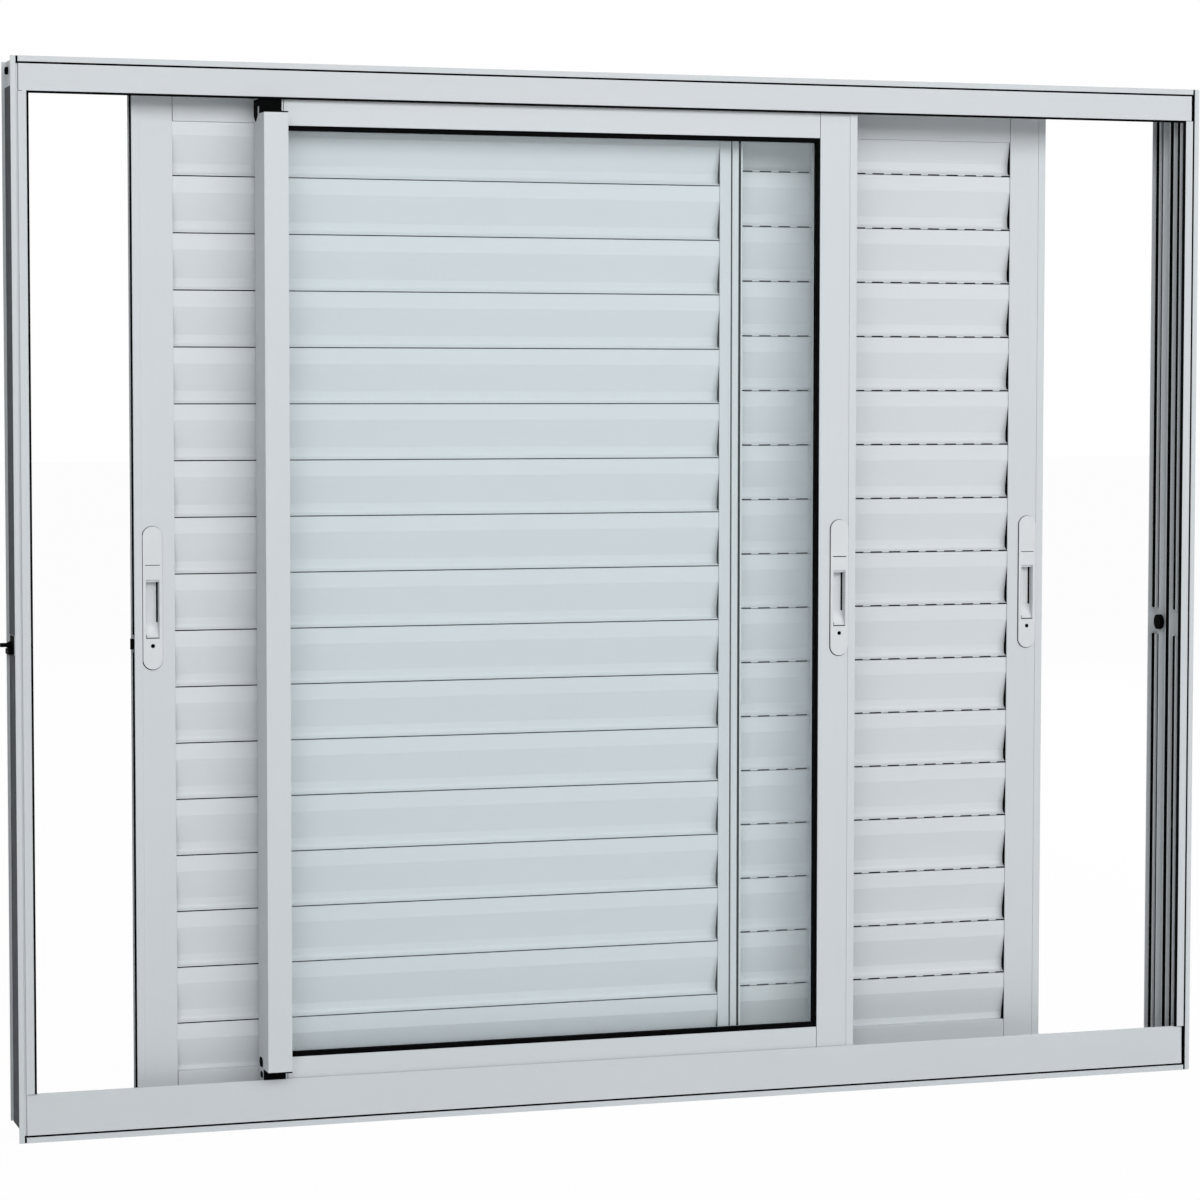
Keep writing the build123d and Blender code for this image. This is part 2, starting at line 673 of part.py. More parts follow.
def save_glass_leaf():
    """Write the glass leaf of the front track."""
    front = leaf_front(0)
    x0 = GLASS_LEAF_FROM_LEFT - half_width
    edge = x0 + glass_leaf_width
    glass_start = x0 + GRIP_WIDTH
    glass_end = edge - GLASS_STILE_WIDTH
    section = outer_stile_section(GLASS_STILE_WIDTH, front, front)
    lock = turned(upright(section, leaf_bottom, leaf_top), glass_end, GLASS_STILE_WIDTH, 1)
    pull_x = edge - PULL_EDGE
    lock -= pull_cup(pull_x, front, PULL_CUP_WALL)
    save("glass_leaf_grip_stile", grip_stile(x0))
    save("glass_leaf_lock_stile", lock)
    save("glass_leaf_top_rail", top_rail(glass_start, glass_end, GLASS_TOP_RAIL, front))
    save("glass_leaf_bottom_rail", bottom_rail(glass_start, glass_end, GLASS_BOTTOM_RAIL, front))
    low = leaf_bottom + GLASS_BOTTOM_RAIL
    high = leaf_top - GLASS_TOP_RAIL
    glass_front = front + (LEAF_THICKNESS - GLASS_THICKNESS) / 2
    pane = block(
        glass_start + GASKET_BACK, glass_end - GASKET_BACK, glass_front,
        glass_front + GLASS_THICKNESS, low + GASKET_BACK, high - GASKET_BACK,
    )
    gasket = block(
        glass_start, glass_end, front + GASKET_RECESS, front + LEAF_THICKNESS - GASKET_RECESS,
        low, high,
    )
    gasket -= block(
        glass_start + GASKET_WIDTH, glass_end - GASKET_WIDTH, front, front + LEAF_THICKNESS,
        low + GASKET_WIDTH, high - GASKET_WIDTH,
    )
    gasket -= pane
    save("glass_pane", pane)
    save("glass_gasket", gasket)
    save("glass_leaf_pull", make_pull(pull_x, front))
    save("glass_leaf_latch", make_latch(edge, 1, front))
    save("grip_top_cap", grip_top_cap(x0))
    save("grip_bottom_cap", grip_cap(x0, grip_low, SILL_FRONT_HEIGHT))
    save_running_gear("glass_leaf", glass_start, glass_end, 0)


save("head", between_jambs(head_section()))
save("sill", between_jambs(sill_section()))
save("left_jamb", make_jamb(-1, [1]))
save("right_jamb", make_jamb(1, [0, 2]))
save("head_seal", make_seal(0))
save("left_jamb_seal", make_seal(-1))
save("right_jamb_seal", make_seal(1))
save("right_jamb_bumper", make_bumper())
save("left_jamb_strike", make_strike())
save_shutter(
    "left_shutter", LEFT_SHUTTER_OPEN - half_width, 1, -1, PLAIN_SLAT_PITCH, PLAIN_SLAT_LINE
)
save_shutter(
    "right_shutter", half_width - RIGHT_SHUTTER_OPEN - shutter_width, 2, 1,
    VENT_SLAT_PITCH, VENT_SLAT_LINE,
)
save_glass_leaf()
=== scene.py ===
import math

import bpy
from bpy.props import FloatProperty, FloatVectorProperty, PointerProperty
from mathutils import Euler, Matrix, Vector


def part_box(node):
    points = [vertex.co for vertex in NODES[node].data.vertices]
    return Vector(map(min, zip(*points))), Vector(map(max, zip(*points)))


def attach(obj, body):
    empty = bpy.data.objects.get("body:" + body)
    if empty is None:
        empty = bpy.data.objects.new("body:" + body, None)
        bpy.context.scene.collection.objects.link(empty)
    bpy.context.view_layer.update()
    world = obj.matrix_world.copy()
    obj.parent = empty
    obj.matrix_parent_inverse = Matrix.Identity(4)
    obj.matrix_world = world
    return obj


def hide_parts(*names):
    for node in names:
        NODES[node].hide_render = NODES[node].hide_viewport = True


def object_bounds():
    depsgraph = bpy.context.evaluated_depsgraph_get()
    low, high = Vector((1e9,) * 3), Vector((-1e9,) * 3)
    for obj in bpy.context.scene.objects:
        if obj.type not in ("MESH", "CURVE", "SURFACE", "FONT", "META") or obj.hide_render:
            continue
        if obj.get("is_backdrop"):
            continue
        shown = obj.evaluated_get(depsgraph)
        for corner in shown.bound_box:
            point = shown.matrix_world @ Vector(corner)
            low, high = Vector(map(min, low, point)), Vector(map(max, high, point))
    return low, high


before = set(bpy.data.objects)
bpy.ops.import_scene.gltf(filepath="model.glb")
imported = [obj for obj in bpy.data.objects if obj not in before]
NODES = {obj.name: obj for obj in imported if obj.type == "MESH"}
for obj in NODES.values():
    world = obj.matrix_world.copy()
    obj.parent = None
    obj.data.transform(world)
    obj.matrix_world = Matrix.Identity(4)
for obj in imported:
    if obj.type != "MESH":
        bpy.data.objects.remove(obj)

bl_info = {
    "name": "Sliding shutter window",
    "version": (1, 0, 0),
    "blender": (4, 5, 0),
    "location": "3D View > Sidebar > Window",
    "description": "Finishes a three-leaf sliding window with a glass leaf and two louvre shutters",
    "category": "Mesh",
}

BODY = "root"
MM = 0.001
FRONT = (0, -1, 0)

# Parts of the window
RUNS_ALONG = ("head", "sill", "rail", "slats")
FRAME_PROFILES = ("head", "sill", "left_jamb", "right_jamb")
SHUTTERS = {"left_shutter": 1, "right_shutter": -1}
OUTER_STILES = {
    "left_shutter": "outer_stile", "right_shutter": "outer_stile", "glass_leaf": "lock_stile",
}

# Meshes
MERGE_DISTANCE = 0.002 * MM
FLAT_ANGLE = 0.4
SMOOTH_ANGLE = 40
BEND_ANGLE = 12
ROUND_SIDES = 46
FINE_EDGE = 0.1 * MM
FINEST_EDGE = 0.05 * MM

# Slats, with their gaps and vents: each pair is a front and a back, behind the slats' front
VENTED_SLAT_PITCH = 54.0 * MM
FIRST_VENT_LINE = 48.5 * MM
PLAIN_SLAT_PITCH = 53.1 * MM
FIRST_PLAIN_LINE = 46.0 * MM
SLAT_GAP = 0.8 * MM
# The black strips in the plain slats' gaps are painted shade
GAP_SHADE_STRIP = (0.2 * MM, 1.15 * MM)
GAP_SHADE_LAP = 0.25 * MM
VENT_FROM_STILE = 9.2 * MM
VENT_BELOW_LINE = 0.4 * MM
VENT_CUT = (-1 * MM, 1.45 * MM)
# The black blocks behind the vent slots are painted shade that darkens the slots
VENT_SHADE_DEPTHS = (0.5 * MM, 1.1 * MM)
SLAT_ENTRY = 6.0 * MM
# Black strips in the stiles' slot mouths are painted shade of the hollow stiles
SLOT_SHADE_SINK = 0.1 * MM
SLOT_SHADE_THICKNESS = 0.4 * MM
SLOT_SHADE_INSET = 0.8 * MM

# Glass and its gasket
GLASS_MIRROR = 0.034
GASKET_WIDTH = 3.2 * MM
GASKET_EXTRA = 1.3 * MM
REAR_GASKET_WIDTH = 1.2 * MM
REAR_GASKET_DEPTH = 2.0 * MM
BEAD_WIDTH = 1.4 * MM
RING_LIP = 0.28
RING_SINK = 0.3 * MM
RING_ROUND = 0.25 * MM

# Sealing strips of the leaves, and black strips of painted shade in the meeting stiles
PILE_SHARE = 0.35
PILE_INSET = 0.06
LEAF_WALL = 1.4 * MM
POCKET_DEPTH = 6.1 * MM
POCKET_SEAL_SHORT = 1.2 * MM
POCKET_SEAL_GAP = 2.5 * MM
MEETING_FLOOR = 4.0 * MM
# Near side, far side and height of each strip in a meeting stile; the one in the slot is a pile seal
# whose black also stands in for the slot's shade, the one in the groove is painted shade
MEETING_SEALS_AND_SHADE = {
    "slot": (1.8 * MM, 4.2 * MM, 3.8 * MM),
    "groove": (10.6 * MM, 12.2 * MM, 2.0 * MM),
}

# Grooves and channels of the frame: each pair is a near and a far side, or a foot and a top
FRAME_LIP_X = 0.594
HEAD_JOINT = (5.0 * MM, 60.0 * MM)
JAMB_WEB = 8.3 * MM
JAMB_GROOVE = (4.9 * MM, 6.8 * MM)
JAMB_GROOVE_FLOOR = 4.0 * MM
JAMB_STRIP_HEIGHT = 3.5 * MM
FLANGE_GROOVE = (5.2 * MM, 7.0 * MM)
FLANGE_GROOVE_FLOOR = 3.0 * MM
# The black strips in the flange grooves are painted shade
FLANGE_STRIP_HEIGHT = 2 * MM
COVER_HEIGHT = 2.5 * MM
COVER_INSET = 0.3 * MM
COVER_SINK = 0.2 * MM
# Front, back and thickness of each strip in the right jamb's channels; the middle one is a pile seal,
# and the front, rear and flange ones are black strips of painted shade at the channels' roots
CHANNEL_SEALS_AND_SHADE = {
    "front": (16.1 * MM, 25.9 * MM, 2.5 * MM),
    "middle": (27.1 * MM, 36.9 * MM, 5.0 * MM),
    "rear": (50.1 * MM, 59.9 * MM, 2.6 * MM),
    "flange": (62.1 * MM, 73.5 * MM, 2.5 * MM),
}
WHOLE_CHANNEL = "middle"
CHANNEL_ENDS = (28.0 * MM, 24.0 * MM)
SLOT_HALF = 13.5 * MM
# Dark grey strips on the left jamb's outer side are painted shade of its outer channel
SIDE_SHADE = (36.0 * MM, 73.0 * MM)
SIDE_SHADE_ENDS = (6.0 * MM, 24.0 * MM)
SIDE_SHADE_GAP = 1.0 * MM
SIDE_SHADE_THICKNESS = 1.2 * MM
SIDE_SHADE_ROUND = 0.4 * MM

# Pulls: heights from the middle, depths from the front
PULL_PLATE = 1.6 * MM
PULL_WIDTH = 18.4 * MM
PULL_LENGTH = 134.0 * MM
# The black rim under a pull's plate is a painted shadow, shifted left and down to show most on those
# sides
SHADOW_RIM = 0.5 * MM
SHADOW_LAP = 1 * MM
SHADOW_THICKNESS = 0.3 * MM
SHADOW_SHIFT = (-0.2 * MM, -0.2 * MM)
PULL_SCREW_BELOW = 45.0 * MM
PULL_SCREW = (1.85 * MM, 1.1 * MM)
RECESS_LOW = 38.0 * MM
RECESS_HALF = 6.3 * MM
RECESS_FLOOR = 9.0 * MM
RECESS_TOP = 15.0 * MM
RECESS_RAMP = 15.0 * MM
# Black strips in the gaps round a pull's lever are painted shade in those gaps
LEVER_FRONT = 0.3 * MM
LEVER_GAP_HEIGHT = 0.8 * MM
LEVER_GAP_BACK = 1.4 * MM
# The black upright at the left end of the lever's gap, painted shade, has a width, a back and a top,
# and the black strips of painted shade in the gaps beside the lever a width and a depth
LEVER_GAP_UPRIGHT = (0.6 * MM, 2.4 * MM, 3.6 * MM)
LEVER_SIDE_GAP = (1.6 * MM, 0.4 * MM)
LINE_LOW = 30.4 * MM
LINE_HALF = 7.0 * MM
LINE_HEIGHT = 0.45 * MM
LINE_DEPTHS = (0.25 * MM, 0.4 * MM)
PULL_FITTING_EDGE = 0.08 * MM

# Small fittings: sizes are length, width and thickness, and screws are radius and height
DRAIN_FROM_FRONT = 31.5 * MM
DRAIN_HEIGHT = 53.5 * MM
DRAIN_SIZE = (15.8 * MM, 9.3 * MM, 1.2 * MM)
DRAIN_SINK = 0.65 * MM
DRAIN_RIM = (0.9 * MM, 0.3 * MM)
CLIP_FROM_FRONT = 28.5 * MM
CLIP_HEIGHT = 42.2 * MM
CLIP_SIZE = (10.0 * MM, 6.0 * MM, 0.6 * MM)
CLIP_STAND = 0.1 * MM
CLIP_RIM = (0.5 * MM, 0.1 * MM)
SCREW_FROM_BACK = 15.0 * MM
SCREW_BELOW_TOP = 9.0 * MM
JAMB_SCREW = (3.6 * MM, 2.4 * MM)

# Filled by make_materials
MATERIALS = {}

# Stage
CAMERA_PLACE = Vector((-1.0943, -3.3181, 0.6921))
CAMERA_YAW = -0.31193
CAMERA_PITCH = -0.05936
CAMERA_ROLL = -0.00087
SENSOR_WIDTH = 36
VIEW_RANGE = 200
LAMP_TARGET = (0.0, 0.0, 0.5)
KEY_PLACE = (0.3, -4.2, 2.7)
KEY_SIZE = (8.0, 2.2)
REAR_PLACE = (2.8, 4.0, 2.6)
REAR_SIZE = (3.2, 2.2)
FLOOR_SIZE = 60.0
FLOOR_WHITE = 0.97


class FinishSettings(bpy.types.PropertyGroup):
    """Colours of the finishes."""

    paint: FloatVectorProperty(
        name="Paint", description="Colour of the painted aluminium",
        default=(0.62, 0.655, 0.68), size=3, min=0, max=1, subtype="COLOR",
    )
    leaf_tone: FloatProperty(
        name="Leaf tone", description="Share of the paint's colour on the stiles and rails",
        default=0.925, min=0, max=1, subtype="FACTOR",
    )
    frame_tone: FloatProperty(
        name="Frame tone", description="Share of the paint's colour on the frame's profiles",
        default=0.895, min=0, max=1, subtype="FACTOR",
    )
    plastic: FloatVectorProperty(
        name="Pale plastic", description="Colour of the pulls and guides",
        default=(0.62, 0.645, 0.665), size=3, min=0, max=1, subtype="COLOR",
    )
    # Also the colour of the painted shade behind the vents and round the pulls
    black: FloatVectorProperty(
        name="Black plastic", description="Colour of the black fittings",
        default=(0.002, 0.0021, 0.0023), size=3, min=0, max=1, subtype="COLOR",
    )
    # Colour of the dark grey strips of painted shade on the left jamb's outer side
    foam: FloatVectorProperty(
        name="Foam", description="Colour of the foam strip on the frame's side",
        default=(0.075, 0.08, 0.087), size=3, min=0, max=1, subtype="COLOR",
    )
    # Also the colour of the black strips of painted shade in the slat gaps, the stiles' slot mouths and
    # the frame's grooves and channels
    rubber: FloatVectorProperty(
        name="Rubber", description="Colour of the seals and of the glazing gasket",
        default=(0.0016, 0.0016, 0.0018), size=3, min=0, max=1, subtype="COLOR",
    )
    glass: FloatVectorProperty(
        name="Glass", description="Colour that one face of the pane lets through",
        default=(0.990, 1.0, 1.0), size=3, min=0, max=1, subtype="COLOR",
    )


class EdgeSettings(bpy.types.PropertyGroup):
    """Radii that soften the edges."""

    profile: FloatProperty(
        name="Profile edge", description="Edge radius of the frame's and leaves' extrusions",
        default=0.28 * MM, min=0, unit="LENGTH",
    )
    slat: FloatProperty(
        name="Slat edge", description="Edge radius of the shutter slats",
        default=0.2 * MM, min=0, unit="LENGTH",
    )
    joint: FloatProperty(
        name="Joint gap", description="Gap at each end of a rail, of the head and of the sill",
        default=0.5 * MM, min=0, unit="LENGTH",
    )
    fitting: FloatProperty(
        name="Fitting edge", description="Edge radius of the moulded fittings",
        default=0.15 * MM, min=0, unit="LENGTH",
    )


class VentSettings(bpy.types.PropertyGroup):
    """Ventilation slots punched through the lips of the right shutter's slats."""

    length: FloatProperty(
        name="Slot length", description="Length of one slot", default=12.4 * MM, min=0,
        unit="LENGTH",
    )
    pitch: FloatProperty(
        name="Slot pitch", description="Distance from one slot to the next", default=20 * MM,
        min=1 * MM, unit="LENGTH",
    )
    height: FloatProperty(
        name="Slot height", description="How far a slot reaches up into the lip",
        default=0.8 * MM, min=0, unit="LENGTH",
    )


class StageSettings(bpy.types.PropertyGroup):
    """Camera and light."""

    ambient: FloatProperty(
        name="Ambient", description="Strength of the even light from all round",
        default=0.26, min=0,
    )
    key: FloatProperty(
        name="Key lamp", description="Power of the large front lamp", default=205, min=0,
        subtype="POWER", unit="POWER",
    )
    rear: FloatProperty(
        name="Rear lamp", description="Power of the lamp that lights the outer side", default=130,
        min=0, subtype="POWER", unit="POWER",
    )
    lens: FloatProperty(
        name="Lens", description="Focal length on a 36 mm sensor", default=107.35, min=1,
        subtype="DISTANCE_CAMERA",
    )


def names_ending(*endings):
    """Names of the CAD nodes that end in one of the given words."""
    return [name for name in NODES if name.endswith(endings)]


def deselect():
    """Leave edit mode and select nothing."""
    if bpy.context.object and bpy.context.object.mode != "OBJECT":
        bpy.ops.object.mode_set(mode="OBJECT")
    bpy.ops.object.select_all(action="DESELECT")


def activate(piece):
    """Make a piece the only selected one."""
    deselect()
    piece.select_set(True)
    bpy.context.view_layer.objects.active = piece


def apply_modifier(piece, kind, **settings):
    """Add a modifier with its settings and apply it."""
    activate(piece)
    modifier = piece.modifiers.new(kind.title(), kind)
    for name, value in settings.items():
        setattr(modifier, name, value)
    bpy.ops.object.modifier_apply(modifier=modifier.name)


def select_faces(piece, test):
    """Select the faces whose centre and normal pass a test, and enter edit mode."""
    activate(piece)
    bpy.ops.object.mode_set(mode="EDIT")
    bpy.ops.mesh.select_mode(type="FACE")
    bpy.ops.mesh.select_all(action="DESELECT")
    bpy.ops.object.mode_set(mode="OBJECT")
    for face in piece.data.polygons:
        face.select = test(face.center, face.normal)
    bpy.ops.object.mode_set(mode="EDIT")


def select_points(piece, test):
    """Select the corners whose place passes a test, and enter edit mode."""
    activate(piece)
    bpy.ops.object.mode_set(mode="EDIT")
    bpy.ops.mesh.select_mode(type="VERT")
    bpy.ops.mesh.select_all(action="DESELECT")
    bpy.ops.object.mode_set(mode="OBJECT")
    for point in piece.data.vertices:
        point.select = test(point.co)
    bpy.ops.object.mode_set(mode="EDIT")


def add_box(name, low, high):
    """A block from its lowest to its highest corner, as the start of a piece."""
    low, high = Vector(low), Vector(high)
    deselect()
    bpy.ops.mesh.primitive_cube_add(size=1, location=(low + high) / 2, scale=high - low)
    piece = bpy.context.object
    piece.name = name
    bpy.ops.object.transform_apply(location=True, rotation=True, scale=True)
    return piece


def merged_copy(node, name):
    """A copy of a CAD node's mesh with its loose triangles joined into whole faces."""
    source = NODES[node]
    piece = bpy.data.objects.new(name, source.data.copy())
    piece.data.materials.clear()
    bpy.context.scene.collection.objects.link(piece)
    activate(piece)
    bpy.ops.object.mode_set(mode="EDIT")
    bpy.ops.mesh.select_all(action="SELECT")
    bpy.ops.mesh.remove_doubles(threshold=MERGE_DISTANCE)
    bpy.ops.mesh.dissolve_limited(angle_limit=math.radians(FLAT_ANGLE))
    bpy.ops.mesh.select_all(action="DESELECT")
    bpy.ops.object.mode_set(mode="OBJECT")
    return piece


def soften(piece, radius, segments=2, angle=35):
    """Round every edge sharper than the angle and shade smoothly, with flat faces kept flat."""
    apply_modifier(
        piece, "BEVEL", width=radius, segments=segments, limit_method="ANGLE",
        angle_limit=math.radians(angle), use_clamp_overlap=True, miter_outer="MITER_ARC",
    )
    activate(piece)
    bpy.ops.object.shade_smooth_by_angle(angle=math.radians(SMOOTH_ANGLE))
    apply_modifier(piece, "WEIGHTED_NORMAL", keep_sharp=True, weight=80)


def draw_back(piece, gap, nearest=0.0, farthest=FRAME_LIP_X):
    """Move the end faces between two distances from the middle inwards, to show the joints."""
    for side in (-1, 1):
        select_faces(piece, lambda centre, normal: (
            normal.x * side > 0.9 and nearest < abs(centre.x) < farthest
        ))
        bpy.ops.transform.translate(value=(-side * gap, 0, 0))
        bpy.ops.object.mode_set(mode="OBJECT")


def open_head_joint(piece, top, gap):
    """Lower the jamb's ends that meet the head, to show the joint."""
    near, far = HEAD_JOINT
    select_faces(piece, lambda centre, normal: normal.z > 0.9 and near < top - centre.z < far)
    bpy.ops.transform.translate(value=(0, 0, -gap))
    bpy.ops.object.mode_set(mode="OBJECT")


def hollow_out(piece, axis, width):
    """Turn a block into a ring by opening it along an axis, with walls of the given width."""
    select_faces(piece, lambda centre, normal: abs(normal[axis]) > 0.5)
    bpy.ops.mesh.inset(thickness=width)
    bpy.ops.mesh.bridge_edge_loops()
    bpy.ops.object.mode_set(mode="OBJECT")


def shape_face(piece, direction, inset, push):
    """Inset the faces that look in a direction, and push them in, or out below 0."""
    direction = Vector(direction)
    select_faces(piece, lambda centre, normal: normal.dot(direction) > 0.9)
    bpy.ops.mesh.inset(thickness=inset)
    bpy.ops.mesh.extrude_region_move(TRANSFORM_OT_translate={"value": -direction * push})
    bpy.ops.object.mode_set(mode="OBJECT")


def add_strip(name, low, high, inset=FINE_EDGE, sink=FINE_EDGE):
    """A block whose front face has a sunk middle, to lie in a gap or a groove."""
    piece = add_box(name, low, high)
    shape_face(piece, FRONT, inset, sink)
    return piece


def add_rounded(name, centre, axis, length, width, thickness):
    """A plate with full-round ends, drawn out upwards, or backwards where it is square to x."""
    deselect()
    turn = (math.pi / 2, 0, 0) if axis == 1 else (0, math.pi / 2, 0)
    bpy.ops.mesh.primitive_cylinder_add(
        vertices=ROUND_SIDES, radius=width / 2, depth=thickness, location=centre, rotation=turn,
    )
    piece = bpy.context.object
    piece.name = name
    bpy.ops.object.transform_apply(location=True, rotation=True, scale=True)
    along = 2 if axis == 1 else 1
    move = Vector()
    for half in (1, -1):
        select_points(piece, lambda place: (place[along] - centre[along]) * half > 0)
        move[along] = half * (length - width) / 2
        bpy.ops.transform.translate(value=move)
        bpy.ops.object.mode_set(mode="OBJECT")
    return piece


def add_screw(name, place, axis, radius, height):
    """A screw with a domed head and a cross recess, from its seat outwards against an axis."""
    centre = Vector(place)
    centre[axis] -= height / 2
    head = add_rounded(name, centre, axis, 2 * radius, 2 * radius, height)
    out = [0, 0, 0]
    out[axis] = -1
    shape_face(head, out, 0.25 * radius, -0.12 * radius)
    shape_face(head, out, 0.2 * radius, 0.3 * radius)
    return head


def finish_piece(piece, material, slot_name, *nodes):
    """Give a piece its material and its body, and hide the nodes that it stands for; the slot name is
    not used.
    """
    piece.data.materials.clear()
    piece.data.materials.append(material)
    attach(piece, BODY)
    if nodes:
        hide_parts(*nodes)


def finish_node(node, radius, material, slot_name, segments=2):
    """Stand a softened copy in for a CAD node, with its material."""
    piece = merged_copy(node, f"{node}_finished")
    soften(piece, radius, segments)
    finish_piece(piece, MATERIALS[material], slot_name, node)


class Signal:
    """A shader socket that adds Math nodes when it is used in an expression."""

    def __init__(self, shader, socket):
        self.shader = shader
        self.socket = socket

    def math(self, operation, first, second):
        return self.shader.node("ShaderNodeMath", {"operation": operation}, {0: first, 1: second})

    def __add__(self, other):
        return self.math("ADD", self, other)

    def __mul__(self, other):
        return self.math("MULTIPLY", self, other)

    __radd__ = __add__
    __rmul__ = __mul__


class Finish:
    """A node material that is written as expressions."""

    def __init__(self, owner, output="ShaderNodeOutputMaterial"):
        self.owner = owner
        self.owner.use_nodes = True
        self.tree = self.owner.node_tree
        self.tree.nodes.clear()
        self.output = self.tree.nodes.new(output)

    def node(self, kind, settings=None, inputs=None, output=0):
        """Add a node, set it up, fill or link its inputs and return one of its outputs."""
        node = self.tree.nodes.new(kind)
        for name, value in (settings or {}).items():
            setattr(node, name, value)
        for key, value in (inputs or {}).items():
            if isinstance(value, Signal):
                self.tree.links.new(value.socket, node.inputs[key])
            else:
                node.inputs[key].default_value = value
        return Signal(self, node.outputs[output])

    def noise(self, scale, detail=2.0, stretch=(1, 1, 1)):
        """Noise of a scale per metre, drawn out where the stretch is below 1."""
        place = self.node("ShaderNodeMapping", {"vector_type": "POINT"}, {
            "Vector": self.node("ShaderNodeTexCoord", output="Object"), "Scale": stretch,
        })
        return self.node("ShaderNodeTexNoise", {}, {
            "Vector": place, "Scale": scale, "Detail": detail, "Roughness": 0.55,
        })

    def blend(self, factor, first, second):
        """A colour between two others."""
        return self.node("ShaderNodeMix", {"data_type": "RGBA"}, {
            0: factor, 6: first, 7: second,
        }, output=2)

    def bump(self, height, strength, distance):
        """A normal that follows a height."""
        return self.node("ShaderNodeBump", {}, {
            "Height": height, "Strength": strength, "Distance": distance,
        })

    def seen(self):
        """1 for rays from the camera, from mirrors and through glass, and 0 for the light's."""
        rays = [
            self.node("ShaderNodeLightPath", output=ray)
            for ray in ("Is Camera Ray", "Is Glossy Ray", "Is Transmission Ray")
        ]
        return rays[0].math("MAXIMUM", rays[0].math("MAXIMUM", rays[0], rays[1]), rays[2])

    def surface(self, shader):
        """Show a shader and return what it finishes."""
        self.tree.links.new(shader.socket, self.output.inputs["Surface"])
        return self.owner


def shaded(colour, factor):
    """A colour made darker or lighter, with its alpha."""
    return tuple(min(1.0, part * factor) for part in colour) + (1.0,)


def painted_metal(name, colour, stretch):
    """Powder-coated aluminium: fine orange peel, faint die lines along the extrusion, soft mottling."""
    finish = Finish(bpy.data.materials.new(name))
    mottling = finish.noise(3.5, 3)
    peel = finish.noise(1400, 2)
    lines = finish.noise(900, 2, stretch)
    height = peel * 0.6 + lines * 0.4
    tone = mottling * 0.7 + lines * 0.3
    return finish.surface(finish.node("ShaderNodeBsdfPrincipled", {}, {
        "Base Color": finish.blend(tone, shaded(colour, 0.965), shaded(colour, 1.035)),
        "Roughness": 0.36 + 0.12 * mottling + 0.06 * peel,
        "Specular IOR Level": 0.42,
        "Normal": finish.bump(height, 0.16, 0.05 * MM),
    }))


def moulded_plastic(name, colour, roughness, shine=0.5):
    """Moulded plastic: fine spark-eroded grain and a slightly uneven sheen."""
    finish = Finish(bpy.data.materials.new(name))
    grain = finish.noise(2600, 3)
    cloud = finish.noise(25, 2)
    return finish.surface(finish.node("ShaderNodeBsdfPrincipled", {}, {
        "Base Color": finish.blend(cloud, shaded(colour, 0.95), shaded(colour, 1.05)),
        "Roughness": roughness + 0.1 * cloud,
        "Specular IOR Level": shine,
        "Normal": finish.bump(grain, 0.2, 0.04 * MM),
    }))


def black_rubber(name, colour):
    """Extruded rubber: matt, with a dusty bloom and faint lines."""
    finish = Finish(bpy.data.materials.new(name))
    bloom = finish.noise(60, 4)
    grain = finish.noise(1800, 3)
    return finish.surface(finish.node("ShaderNodeBsdfPrincipled", {}, {
        "Base Color": finish.blend(bloom, shaded(colour, 0.8), shaded(colour, 2.2)),
        "Roughness": 0.5 + 0.25 * bloom,
        "Specular IOR Level": 0.01,
        "Normal": finish.bump(grain, 0.25, 0.05 * MM),
    }))


def black_pile(name, colour):
    """Woven pile: matt black, with fine fibres that run out of the strip."""
    finish = Finish(bpy.data.materials.new(name))
    fibres = finish.noise(2200, 3, (1, 1, 0.25))
    tufts = finish.noise(240, 2)
    return finish.surface(finish.node("ShaderNodeBsdfPrincipled", {}, {
        "Base Color": finish.blend(
            fibres * 0.7 + tufts * 0.3, shaded(colour, 0.6), shaded(colour, 2.0)
        ),
        "Roughness": 0.8 + 0.15 * tufts,
        "Specular IOR Level": 0.005,
        "Normal": finish.bump(fibres, 0.6, 0.2 * MM),
    }))


def clear_glass(name, tint):
    """Float glass: lets a faint blue tint through and mirrors a little, more at a low angle."""
    finish = Finish(bpy.data.materials.new(name))
    smear = finish.noise(5, 3)
    facing = finish.node("ShaderNodeLayerWeight", {}, {"Blend": 0.5}, output="Facing")
    gloss = GLASS_MIRROR + (1 - GLASS_MIRROR) * facing.math("POWER", facing, 5)
    mirror = finish.node("ShaderNodeBsdfPrincipled", {}, {
        "Base Color": (0.86, 0.95, 1.0, 1),
        "Roughness": 0.03 + 0.05 * smear,
        "Metallic": 0.9,
    })
    through = finish.node("ShaderNodeBsdfTransparent", {}, {"Color": tint + (1.0,)})
    return finish.surface(finish.node("ShaderNodeMixShader", {}, {
        0: gloss * 0.9 + smear * 0.01, 1: through, 2: mirror,
    }))


def make_materials(finishes):
    """Make every material once, from the chosen colours."""
    if MATERIALS:
        return
    paint = tuple(finishes.paint)
    for part, tone in (("slats", 1.0), ("leaf", finishes.leaf_tone), ("frame", finishes.frame_tone)):
        colour = tuple(tone * value for value in paint)
        for along, stretch in (("x", (0.01, 1, 1)), ("z", (1, 1, 0.01))):
            MATERIALS[f"{part}_{along}"] = painted_metal(f"{part}_paint_{along}", colour, stretch)
    MATERIALS["plastic"] = moulded_plastic("pale_plastic", tuple(finishes.plastic), 0.32)
    MATERIALS["black"] = moulded_plastic("black_plastic", tuple(finishes.black), 0.62, 0.02)
    MATERIALS["rubber"] = black_rubber("black_rubber", tuple(finishes.rubber))
    # The dark grey side strips are painted shade
    MATERIALS["foam"] = black_rubber("dark_foam", tuple(finishes.foam))
    MATERIALS["pile"] = black_pile("black_pile", tuple(finishes.rubber))
    MATERIALS["glass"] = clear_glass("clear_glass", tuple(finishes.glass))


